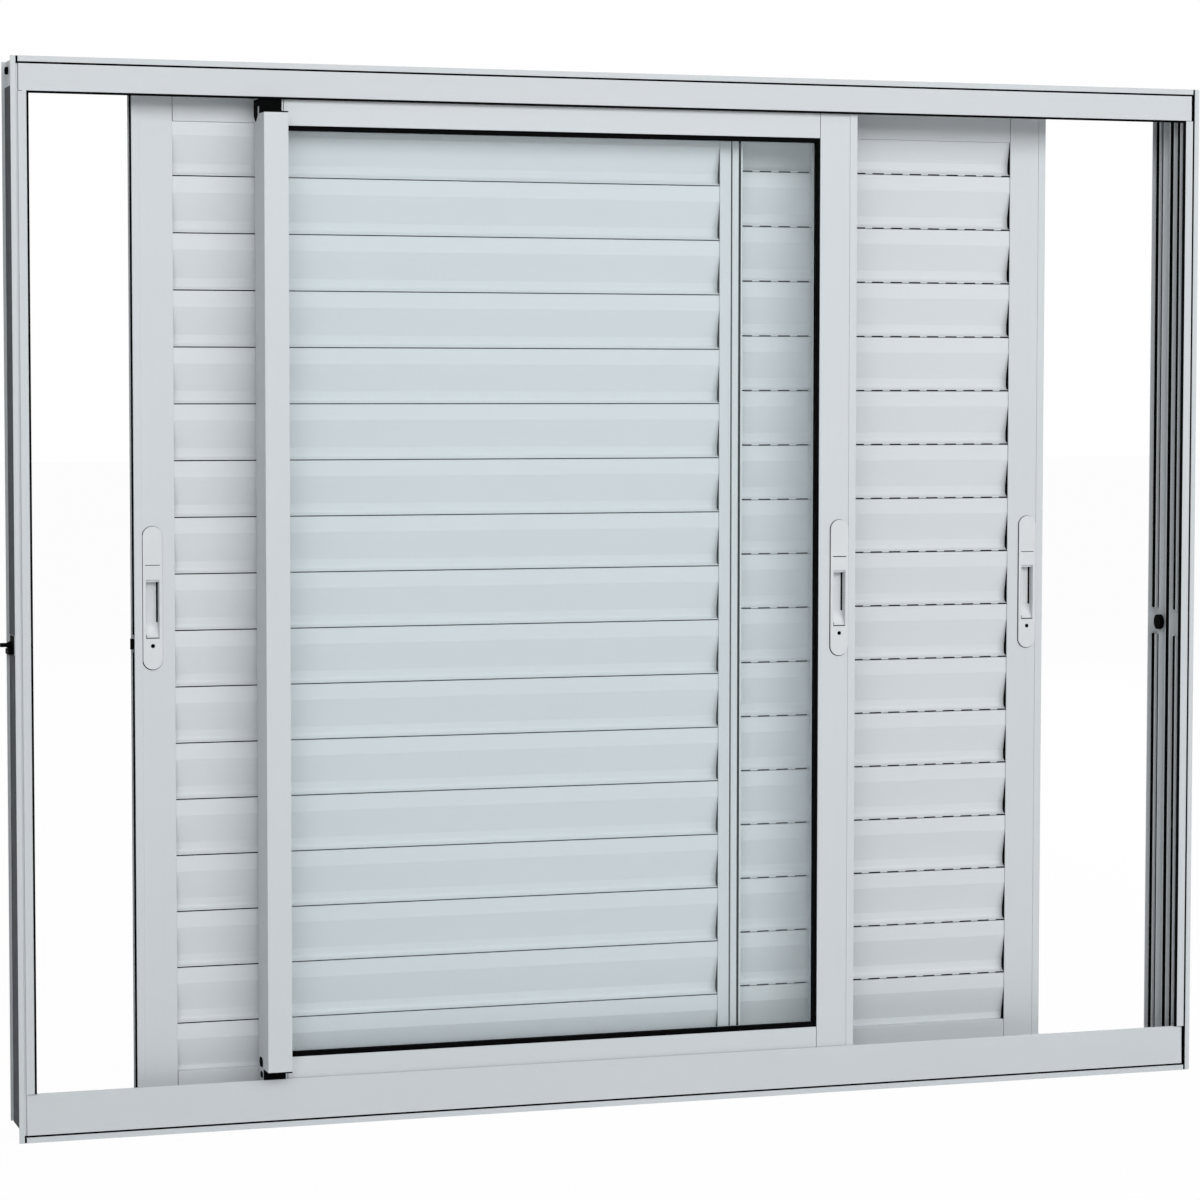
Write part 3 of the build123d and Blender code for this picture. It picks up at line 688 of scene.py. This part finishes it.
def paint_for(name):
    """The paint of the piece's part of the window, with lines that run along the piece."""
    part = "slats" if name.endswith("slats") else "frame" if name in FRAME_PROFILES else "leaf"
    return MATERIALS[f"{part}_x" if name.endswith(RUNS_ALONG) else f"{part}_z"]


class SHUTTER_WINDOW_OT_profiles(bpy.types.Operator):
    """Soften and paint the extrusions of the frame and of the three leaves"""

    bl_idname = "shutter_window.profiles"
    bl_label = "Painted profiles"

    def execute(self, context):
        make_materials(context.scene.window_finish)
        radius = context.scene.window_edges.profile
        gap = context.scene.window_edges.joint
        for node in names_ending("head", "sill", "jamb", "stile", "rail"):
            piece = merged_copy(node, f"{node}_profile")
            if node.endswith(RUNS_ALONG):
                draw_back(piece, gap)
            if node in ("head", "sill"):
                draw_back(piece, JAMB_GROOVE[1] - JAMB_GROOVE[0], FRAME_LIP_X, 1)
            if node.endswith("jamb"):
                open_head_joint(piece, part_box(node)[1].z, gap)
            soften(piece, radius)
            finish_piece(piece, paint_for(node), "pale_paint", node)
        return {"FINISHED"}


def slat_gap_shade_strips(name):
    """Black strips in the gaps between the plain slats, painted shade that darkens the gap lines, from
    one strip and an array.
    """
    low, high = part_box("left_shutter_slats")
    line = low.z + FIRST_PLAIN_LINE
    strips = add_strip(
        name, (low.x + SLAT_ENTRY, low.y + GAP_SHADE_STRIP[0], line - SLAT_GAP),
        (high.x - SLAT_ENTRY, low.y + GAP_SHADE_STRIP[1], line + GAP_SHADE_LAP),
    )
    apply_modifier(
        strips, "ARRAY", count=math.floor((high.z - line) / PLAIN_SLAT_PITCH) + 1,
        use_relative_offset=False, use_constant_offset=True,
        constant_offset_displace=(0, 0, PLAIN_SLAT_PITCH),
    )
    return strips


def vent_blocks(name, settings, depths):
    """One block for each slot of the vented slats, from one block and two arrays."""
    low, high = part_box("right_shutter_slats")
    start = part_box("right_shutter_outer_stile")[0].x - VENT_FROM_STILE
    line = low.z + FIRST_VENT_LINE
    blocks = add_box(
        name, (start, low.y + depths[0], line - VENT_BELOW_LINE),
        (start + settings.length, low.y + depths[1], line + settings.height),
    )
    across = math.floor((start - low.x) / settings.pitch) + 1
    rows = math.floor((high.z - line) / VENTED_SLAT_PITCH) + 1
    apply_modifier(
        blocks, "ARRAY", count=across, use_relative_offset=False, use_constant_offset=True,
        constant_offset_displace=(-settings.pitch, 0, 0),
    )
    apply_modifier(
        blocks, "ARRAY", count=rows, use_relative_offset=False, use_constant_offset=True,
        constant_offset_displace=(0, 0, VENTED_SLAT_PITCH),
    )
    return blocks


class SHUTTER_WINDOW_OT_slats(bpy.types.Operator):
    """Soften and paint the shutter slats, and punch the right shutter's ventilation slots"""

    bl_idname = "shutter_window.slats"
    bl_label = "Shutter slats"

    def execute(self, context):
        make_materials(context.scene.window_finish)
        for node in names_ending("_slats"):
            piece = merged_copy(node, f"{node}_finished")
            soften(piece, context.scene.window_edges.slat, angle=BEND_ANGLE)
            if node.startswith("right"):
                settings = context.scene.window_vents
                cutter = vent_blocks("vent_cutter", settings, VENT_CUT)
                apply_modifier(
                    piece, "BOOLEAN", object=cutter, operation="DIFFERENCE", solver="EXACT"
                )
                bpy.data.objects.remove(cutter)
                # Painted shade: black blocks behind the slots make them read dark
                vent_shade = vent_blocks("right_shutter_vent_shade_blocks", settings, VENT_SHADE_DEPTHS)
                soften(vent_shade, FINE_EDGE, 1)
                finish_piece(vent_shade, MATERIALS["black"], "black_plastic")
            finish_piece(piece, paint_for(node), "pale_paint", node)
        # Painted shade: black strips that darken the lines between the plain slats
        finish_piece(slat_gap_shade_strips("left_shutter_gap_shade_strips"), MATERIALS["rubber"], "black_rubber")
        return {"FINISHED"}


class SHUTTER_WINDOW_OT_shades(bpy.types.Operator):
    """Put black strips of painted shade in the mouths of the slots in the stiles where the slats go in,
    for the dark inside of the hollow stiles
    """

    bl_idname = "shutter_window.liners"
    bl_label = "Slot liners"

    def execute(self, context):
        make_materials(context.scene.window_finish)
        for leaf in SHUTTERS:
            low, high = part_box(f"{leaf}_slats")
            for end, mouth, side in (
                ("left", low.x + SLAT_ENTRY, -1), ("right", high.x - SLAT_ENTRY, 1),
            ):
                # Painted shade: a black strip in the mouth stands in for the dark inside of the hollow
                # stile
                near = mouth + side * SLOT_SHADE_SINK
                far = near + side * SLOT_SHADE_THICKNESS
                hollow_shade = add_box(
                    f"{leaf}_{end}_slot_painted_shade", (min(near, far), low.y, low.z),
                    (max(near, far), high.y, high.z),
                )
                shape_face(hollow_shade, (-side, 0, 0), SLOT_SHADE_INSET, FINEST_EDGE)
                soften(hollow_shade, FINE_EDGE, 1)
                finish_piece(hollow_shade, MATERIALS["rubber"], "black_rubber")
        return {"FINISHED"}


class SHUTTER_WINDOW_OT_pulls(bpy.types.Operator):
    """Soften the flush pulls of the three leaves"""

    bl_idname = "shutter_window.pulls"
    bl_label = "Flush pulls"

    def execute(self, context):
        make_materials(context.scene.window_finish)
        for node in names_ending("_pull"):
            finish_node(node, context.scene.window_edges.fitting, "plastic", "pale_plastic")
            low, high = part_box(node)
            for fitting in pull_fittings(node, low, (low + high) / 2):
                soften(fitting, PULL_FITTING_EDGE, 1)
                finish_piece(fitting, MATERIALS["black"], "black_plastic")
        return {"FINISHED"}


def pull_fittings(node, low, centre):
    """Black pieces of one pull: a rim under its plate that is a painted shadow, its screw, whose black
    also stands in for the shade in its hole, its line, and strips of painted shade in the gaps round
    its lever.
    """
    seat = low.y + PULL_PLATE
    # Painted shadow: a black rim under the plate, shifted left and down
    painted_shadow = add_rounded(
        f"{node}_backing",
        (centre.x + SHADOW_SHIFT[0], seat - SHADOW_THICKNESS / 2, centre.z + SHADOW_SHIFT[1]), 1,
        PULL_LENGTH + 2 * SHADOW_RIM, PULL_WIDTH + 2 * SHADOW_RIM, SHADOW_THICKNESS,
    )
    hollow_out(painted_shadow, 1, 2 * SHADOW_RIM + SHADOW_LAP)
    # The screw is black, which also stands in for the shade in its hole
    screw = add_screw(
        f"{node}_screw", (centre.x, seat, centre.z - PULL_SCREW_BELOW), 1, *PULL_SCREW
    )
    left, right = centre.x - RECESS_HALF, centre.x + RECESS_HALF
    front, bottom = low.y + LEVER_FRONT, centre.z - RECESS_LOW
    # Painted shade: black strips in the gap at the lever's foot, at its left end and beside it
    foot = add_strip(
        f"{node}_lever_gap", (left, front, bottom),
        (right, low.y + LEVER_GAP_BACK, bottom + LEVER_GAP_HEIGHT),
    )
    line_low = centre.z + LINE_LOW
    line = add_strip(
        f"{node}_line", (centre.x - LINE_HALF, low.y + LINE_DEPTHS[0], line_low),
        (centre.x + LINE_HALF, low.y + LINE_DEPTHS[1], line_low + LINE_HEIGHT),
        FINEST_EDGE, FINEST_EDGE,
    )
    upright_width, upright_back, upright_top = LEVER_GAP_UPRIGHT
    step = add_strip(
        f"{node}_lever_step", (left, front, bottom + LEVER_GAP_HEIGHT),
        (left + upright_width, low.y + upright_back, bottom + upright_top),
    )
    pieces = [painted_shadow, screw, foot, line, step]
    gap_width, gap_depth = LEVER_SIDE_GAP
    floor = low.y + RECESS_FLOOR
    for name, start, end in (
        ("left", left, left + gap_width), ("right", right - gap_width, right),
    ):
        pieces.append(add_strip(
            f"{node}_{name}_lever_gap", (start, floor - gap_depth, bottom + RECESS_RAMP),
            (end, floor, centre.z + RECESS_TOP),
        ))
    return pieces


def seal_ring(name, low, high, front, back, width):
    """A mitred ring whose face sinks to a lip, and which is wider along its top and bottom."""
    outwards = 1 if back > front else -1
    ring = add_box(name, (low.x, min(front, back), low.z), (high.x, max(front, back), high.z))
    hollow_out(ring, 1, width)
    for side in (-1, 1):
        select_faces(ring, lambda centre, normal: (
            normal.z * side < -0.9 and low.z + width / 2 < centre.z < high.z - width / 2
        ))
        bpy.ops.transform.translate(value=(0, 0, -side * GASKET_EXTRA))
        bpy.ops.object.mode_set(mode="OBJECT")
    select_faces(ring, lambda centre, normal: normal.y * outwards < -0.5)
    bpy.ops.mesh.inset(thickness=RING_LIP * width)
    bpy.ops.transform.translate(value=(0, outwards * RING_SINK, 0))
    bpy.ops.object.mode_set(mode="OBJECT")
    soften(ring, RING_ROUND)
    return ring


def pile_strip(name, low, high, direction):
    """A black pile strip, laid both as a seal and as painted shade: a base that fills its groove, with
    a narrower pile that stands up from it.
    """
    low, high, direction = Vector(low), Vector(high), Vector(direction)
    size = high - low
    height = abs(size.dot(direction))
    width = min(part for part, along in zip(size, direction) if not along)
    pile = PILE_SHARE * height * direction
    base_low = low - Vector(map(min, pile, (0, 0, 0)))
    base_high = high - Vector(map(max, pile, (0, 0, 0)))
    strip = add_box(name, base_low, base_high)
    shape_face(strip, direction, PILE_INSET * width, -PILE_SHARE * height)
    soften(strip, FINE_EDGE, 1)
    finish_piece(strip, MATERIALS["pile"], "black_rubber")


def pocket_seals():
    """Pile strips in the open pockets of the outer stiles, above and below each latch."""
    for leaf, stile in OUTER_STILES.items():
        low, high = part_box(f"{leaf}_{stile}")
        latch_low, latch_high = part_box(f"{leaf}_latch")
        side = -1 if (latch_low + latch_high).x < (low + high).x else 1
        edge = low.x if side < 0 else high.x
        floor = edge - side * POCKET_DEPTH
        edge -= side * POCKET_SEAL_SHORT
        for part, bottom, top in (
            ("lower", low.z, latch_low.z - POCKET_SEAL_GAP),
            ("upper", latch_high.z + POCKET_SEAL_GAP, high.z),
        ):
            pile_strip(
                f"{leaf}_{part}_pocket_seal", (min(floor, edge), low.y + LEAF_WALL, bottom),
                (max(floor, edge), high.y - LEAF_WALL, top), (side, 0, 0),
            )


def meeting_seals_and_shade():
    """Black strips in the slot and in the groove of the two meeting stiles: a pile seal that is also
    painted shade in the slot, and painted shade in the groove.
    """
    for leaf, side in SHUTTERS.items():
        low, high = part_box(f"{leaf}_meeting_stile")
        edge = high.x if side > 0 else low.x
        floor = low.y + MEETING_FLOOR
        for part, (near, far, height) in MEETING_SEALS_AND_SHADE.items():
            start, end = sorted((edge - side * near, edge - side * far))
            pile_strip(
                f"{leaf}_{part}_seal", (start, floor - height, low.z), (end, floor, high.z), FRONT,
            )


def jamb_groove_strips():
    """Pile strips in the jambs' grooves, and a pale cover over the middle of the left one."""
    low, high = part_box("right_jamb")
    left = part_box("left_jamb")[0].x
    floor = low.y + JAMB_GROOVE_FLOOR
    front = floor - JAMB_STRIP_HEIGHT
    cover_low, cover_high = low.z + FLANGE_GROOVE[1], high.z - FLANGE_GROOVE[1]
    pile_strip(
        "right_jamb_groove_strip", (high.x - JAMB_GROOVE[1], front, low.z),
        (high.x - JAMB_GROOVE[0], floor, high.z), FRONT,
    )
    for part, bottom, top in (("lower", low.z, cover_low), ("upper", cover_high, high.z)):
        pile_strip(
            f"left_jamb_{part}_groove_end", (left + JAMB_GROOVE[0], front, bottom),
            (left + JAMB_GROOVE[1], floor, top), FRONT,
        )
    cover = add_strip(
        "left_jamb_groove_cover", (left + JAMB_GROOVE[0], floor - COVER_HEIGHT, cover_low),
        (left + JAMB_GROOVE[1], floor, cover_high), COVER_INSET, COVER_SINK,
    )
    finish_piece(cover, MATERIALS["frame_z"], "pale_paint")


def side_foam():
    """Dark grey strips on the left jamb's outer side, above and below the strike: painted shade of its
    outer channel.
    """
    low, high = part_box("left_jamb")
    strike_low, strike_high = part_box("left_jamb_strike")
    web = low.x + JAMB_GROOVE[1]
    for part, bottom, top in (
        ("lower", low.z + SIDE_SHADE_ENDS[0], strike_low.z - SIDE_SHADE_GAP),
        ("upper", strike_high.z + SIDE_SHADE_GAP, high.z - SIDE_SHADE_ENDS[1]),
    ):
        foam = add_box(
            f"left_jamb_{part}_side_foam",
            (web - SIDE_SHADE_THICKNESS, low.y + SIDE_SHADE[0], bottom),
            (web, low.y + SIDE_SHADE[1], top),
        )
        soften(foam, SIDE_SHADE_ROUND)
        finish_piece(foam, MATERIALS["foam"], "black_rubber")


def flange_groove_shade_strips():
    """Black strips in the grooves of the sill's and the head's front flanges: painted shade that
    darkens the grooves.
    """
    low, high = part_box("right_jamb")
    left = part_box("left_jamb")[0].x
    floor = low.y + FLANGE_GROOVE_FLOOR
    for node, bottom, top in (
        ("sill", low.z + FLANGE_GROOVE[0], low.z + FLANGE_GROOVE[1]),
        ("head", high.z - FLANGE_GROOVE[1], high.z - FLANGE_GROOVE[0]),
    ):
        pile_strip(
            f"{node}_groove_strip", (left + JAMB_GROOVE[1], floor - FLANGE_STRIP_HEIGHT, bottom),
            (high.x - JAMB_GROOVE[1], floor, top), FRONT,
        )


def channel_seals_and_shade():
    """Strips in the right jamb's channels, a pile seal in the middle one and painted shade in the
    others; all but the whole one leave the latch slots free.
    """
    low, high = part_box("right_jamb")
    stop_low, stop_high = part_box("right_jamb_bumper")
    web = high.x - JAMB_WEB
    bottom, top = low.z + CHANNEL_ENDS[0], high.z - CHANNEL_ENDS[1]
    slot = (stop_low.z + stop_high.z) / 2
    for part, (near, far, width) in CHANNEL_SEALS_AND_SHADE.items():
        spans = {"lower": (bottom, slot - SLOT_HALF), "upper": (slot + SLOT_HALF, top)}
        if part == WHOLE_CHANNEL:
            spans = {"whole": (bottom, top)}
        for span, (start, end) in spans.items():
            pile_strip(
                f"right_jamb_{part}_{span}_seal", (web - width, low.y + near, start),
                (web, low.y + far, end), (-1, 0, 0),
            )


class SHUTTER_WINDOW_OT_seals(bpy.types.Operator):
    """Soften the black seals and the stop, and lay the strips in their grooves and channels"""

    bl_idname = "shutter_window.seals"
    bl_label = "Seals and stop"

    def execute(self, context):
        make_materials(context.scene.window_finish)
        for node in names_ending("_seal", "_bumper"):
            finish_node(node, context.scene.window_edges.fitting, "rubber", "black_rubber")
        pocket_seals()
        meeting_seals_and_shade()
        jamb_groove_strips()
        side_foam()
        flange_groove_shade_strips()
        channel_seals_and_shade()
        return {"FINISHED"}


class SHUTTER_WINDOW_OT_gasket(bpy.types.Operator):
    """Model the glazing gasket as two mitred rubber rings that grip the pane, and a pale bead"""

    bl_idname = "shutter_window.gasket"
    bl_label = "Glazing gasket"

    def execute(self, context):
        make_materials(context.scene.window_finish)
        low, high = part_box("glass_gasket")
        pane_low, pane_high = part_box("glass_pane")
        rear = pane_high.y + REAR_GASKET_DEPTH
        for name, front, back, width, material, slot_name in (
            ("glass_gasket_front", low.y, pane_low.y, GASKET_WIDTH, "rubber", "black_rubber"),
            ("glass_gasket_rear", rear, pane_high.y, REAR_GASKET_WIDTH, "rubber", "black_rubber"),
            ("glass_rear_bead", high.y, rear, BEAD_WIDTH, "leaf_z", "pale_paint"),
        ):
            ring = seal_ring(name, low, high, front, back, width)
            finish_piece(ring, MATERIALS[material], slot_name, "glass_gasket")
        return {"FINISHED"}


class SHUTTER_WINDOW_OT_glass(bpy.types.Operator):
    """Finish the glass pane"""

    bl_idname = "shutter_window.glass"
    bl_label = "Glass pane"

    def execute(self, context):
        make_materials(context.scene.window_finish)
        finish_node("glass_pane", context.scene.window_edges.fitting, "glass", "glass", 1)
        return {"FINISHED"}


class SHUTTER_WINDOW_OT_fittings(bpy.types.Operator):
    """Soften the black latches, caps and strike, and the running gear"""

    bl_idname = "shutter_window.fittings"
    bl_label = "Fittings"

    def execute(self, context):
        make_materials(context.scene.window_finish)
        radius = context.scene.window_edges.fitting
        for node in names_ending("_latch", "_cap", "_strike", "_carriages", "_rollers"):
            finish_node(node, radius, "black", "black_plastic")
        for node in names_ending("_guides"):
            finish_node(node, radius, "plastic", "pale_plastic")
        low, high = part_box("glass_leaf_grip_stile")
        plug = add_rounded(
            "grip_drain_plug", (low.x + DRAIN_SINK, low.y + DRAIN_FROM_FRONT, DRAIN_HEIGHT), 0,
            *DRAIN_SIZE,
        )
        shape_face(plug, (-1, 0, 0), *DRAIN_RIM)
        clip = add_rounded(
            "grip_bottom_clip", (low.x - CLIP_STAND, low.y + CLIP_FROM_FRONT, CLIP_HEIGHT), 0,
            *CLIP_SIZE,
        )
        shape_face(clip, (-1, 0, 0), *CLIP_RIM)
        low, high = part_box("left_jamb")
        screw = add_screw(
            "left_jamb_screw",
            (low.x + JAMB_GROOVE[1], high.y - SCREW_FROM_BACK, high.z - SCREW_BELOW_TOP), 0,
            *JAMB_SCREW,
        )
        for piece in (plug, clip, screw):
            soften(piece, radius)
            finish_piece(piece, MATERIALS["black"], "black_plastic")
        return {"FINISHED"}


def make_camera(lens):
    """Camera at the photograph's place, turned towards the window."""
    data = bpy.data.cameras.new("camera")
    data.lens = lens
    data.sensor_width = SENSOR_WIDTH
    data.clip_end = VIEW_RANGE
    camera = bpy.data.objects.new("camera", data)
    bpy.context.scene.collection.objects.link(camera)
    turn = Matrix.Rotation(CAMERA_YAW, 3, "Z") @ Matrix.Rotation(CAMERA_PITCH, 3, "X")
    turn = turn @ Matrix.Rotation(CAMERA_ROLL, 3, "Y")
    upright = Euler((math.pi / 2, 0, 0)).to_matrix()
    camera.matrix_world = Matrix.Translation(CAMERA_PLACE) @ (turn @ upright).to_4x4()
    bpy.context.scene.camera = camera


def make_lamp(name, place, size, power):
    """Large oblong lamp, of a width and a height, that looks at the window."""
    data = bpy.data.lights.new(name, "AREA")
    data.shape = "RECTANGLE"
    data.size, data.size_y = size
    data.energy = power
    lamp = bpy.data.objects.new(name, data)
    lamp.location = place
    lamp.rotation_euler = (Vector(LAMP_TARGET) - Vector(place)).to_track_quat("-Z", "Y").to_euler()
    bpy.context.scene.collection.objects.link(lamp)


def make_world(ambient):
    """Even grey light, shown as white to the camera, to mirrors and through glass."""
    world = bpy.data.worlds.new("studio")
    bpy.context.scene.world = world
    finish = Finish(world, "ShaderNodeOutputWorld")
    finish.surface(finish.node("ShaderNodeBackground", {}, {
        "Color": (1, 1, 1, 1), "Strength": ambient + finish.seen() * (1 - ambient),
    }))


def make_floor(low):
    """Plain pale floor that keeps a soft shadow."""
    deselect()
    bpy.ops.mesh.primitive_plane_add(size=FLOOR_SIZE, location=(0, 0, low))
    floor = bpy.context.object
    floor.name = "floor"
    bpy.ops.object.transform_apply(location=True)
    finish = Finish(bpy.data.materials.new("pale_floor"))
    seen = finish.seen()
    grain = finish.noise(6, 3)
    shade_shader = finish.node("ShaderNodeBsdfPrincipled", {}, {
        "Base Color": finish.blend(grain, (0.86, 0.86, 0.86, 1), (0.9, 0.9, 0.9, 1)),
        "Roughness": 0.8,
    })
    light = finish.node("ShaderNodeEmission", {}, {"Color": (1, 1, 1, 1), "Strength": 1.0})
    floor.data.materials.append(finish.surface(finish.node("ShaderNodeMixShader", {}, {
        0: seen * FLOOR_WHITE, 1: shade_shader, 2: light,
    })))
    floor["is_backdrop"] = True


class SHUTTER_WINDOW_OT_stage(bpy.types.Operator):
    """Set up the world, the floor, the lamps and the camera"""

    bl_idname = "shutter_window.stage"
    bl_label = "Studio stage"

    def execute(self, context):
        settings = context.scene.window_stage
        context.scene.view_settings.view_transform = "Standard"
        make_world(settings.ambient)
        make_floor(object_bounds()[0].z)
        make_lamp("key_lamp", KEY_PLACE, KEY_SIZE, settings.key)
        make_lamp("rear_lamp", REAR_PLACE, REAR_SIZE, settings.rear)
        make_camera(settings.lens)
        return {"FINISHED"}


BUILD_STEPS = (
    SHUTTER_WINDOW_OT_profiles,
    SHUTTER_WINDOW_OT_slats,
    SHUTTER_WINDOW_OT_shades,
    SHUTTER_WINDOW_OT_pulls,
    SHUTTER_WINDOW_OT_seals,
    SHUTTER_WINDOW_OT_gasket,
    SHUTTER_WINDOW_OT_glass,
    SHUTTER_WINDOW_OT_fittings,
    SHUTTER_WINDOW_OT_stage,
)

SETTINGS = {
    "window_finish": FinishSettings,
    "window_edges": EdgeSettings,
    "window_vents": VentSettings,
    "window_stage": StageSettings,
}


class SHUTTER_WINDOW_PT_panel(bpy.types.Panel):
    """Lists the settings and the steps that finish the window"""

    bl_label = "Sliding shutter window"
    bl_idname = "SHUTTER_WINDOW_PT_panel"
    bl_space_type = "VIEW_3D"
    bl_region_type = "UI"
    bl_category = "Window"

    def draw(self, context):
        for holder, group in SETTINGS.items():
            settings = getattr(context.scene, holder)
            for name in group.__annotations__:
                self.layout.prop(settings, name)
        for step in BUILD_STEPS:
            self.layout.operator(step.bl_idname)


def register():
    """Register the settings, the steps and the panel."""
    for holder, group in SETTINGS.items():
        bpy.utils.register_class(group)
        setattr(bpy.types.Scene, holder, PointerProperty(type=group))
    for step in BUILD_STEPS:
        bpy.utils.register_class(step)
    bpy.utils.register_class(SHUTTER_WINDOW_PT_panel)


def unregister():
    """Take the panel, the steps and the settings out again."""
    bpy.utils.unregister_class(SHUTTER_WINDOW_PT_panel)
    for step in reversed(BUILD_STEPS):
        bpy.utils.unregister_class(step)
    for holder, group in SETTINGS.items():
        delattr(bpy.types.Scene, holder)
        bpy.utils.unregister_class(group)


def main():
    """Build every piece in order."""
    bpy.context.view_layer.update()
    register()
    bpy.ops.shutter_window.profiles()
    bpy.ops.shutter_window.slats()
    bpy.ops.shutter_window.liners()
    bpy.ops.shutter_window.pulls()
    bpy.ops.shutter_window.seals()
    bpy.ops.shutter_window.gasket()
    bpy.ops.shutter_window.glass()
    bpy.ops.shutter_window.fittings()
    bpy.ops.shutter_window.stage()


if __name__ == "__main__":
    main()
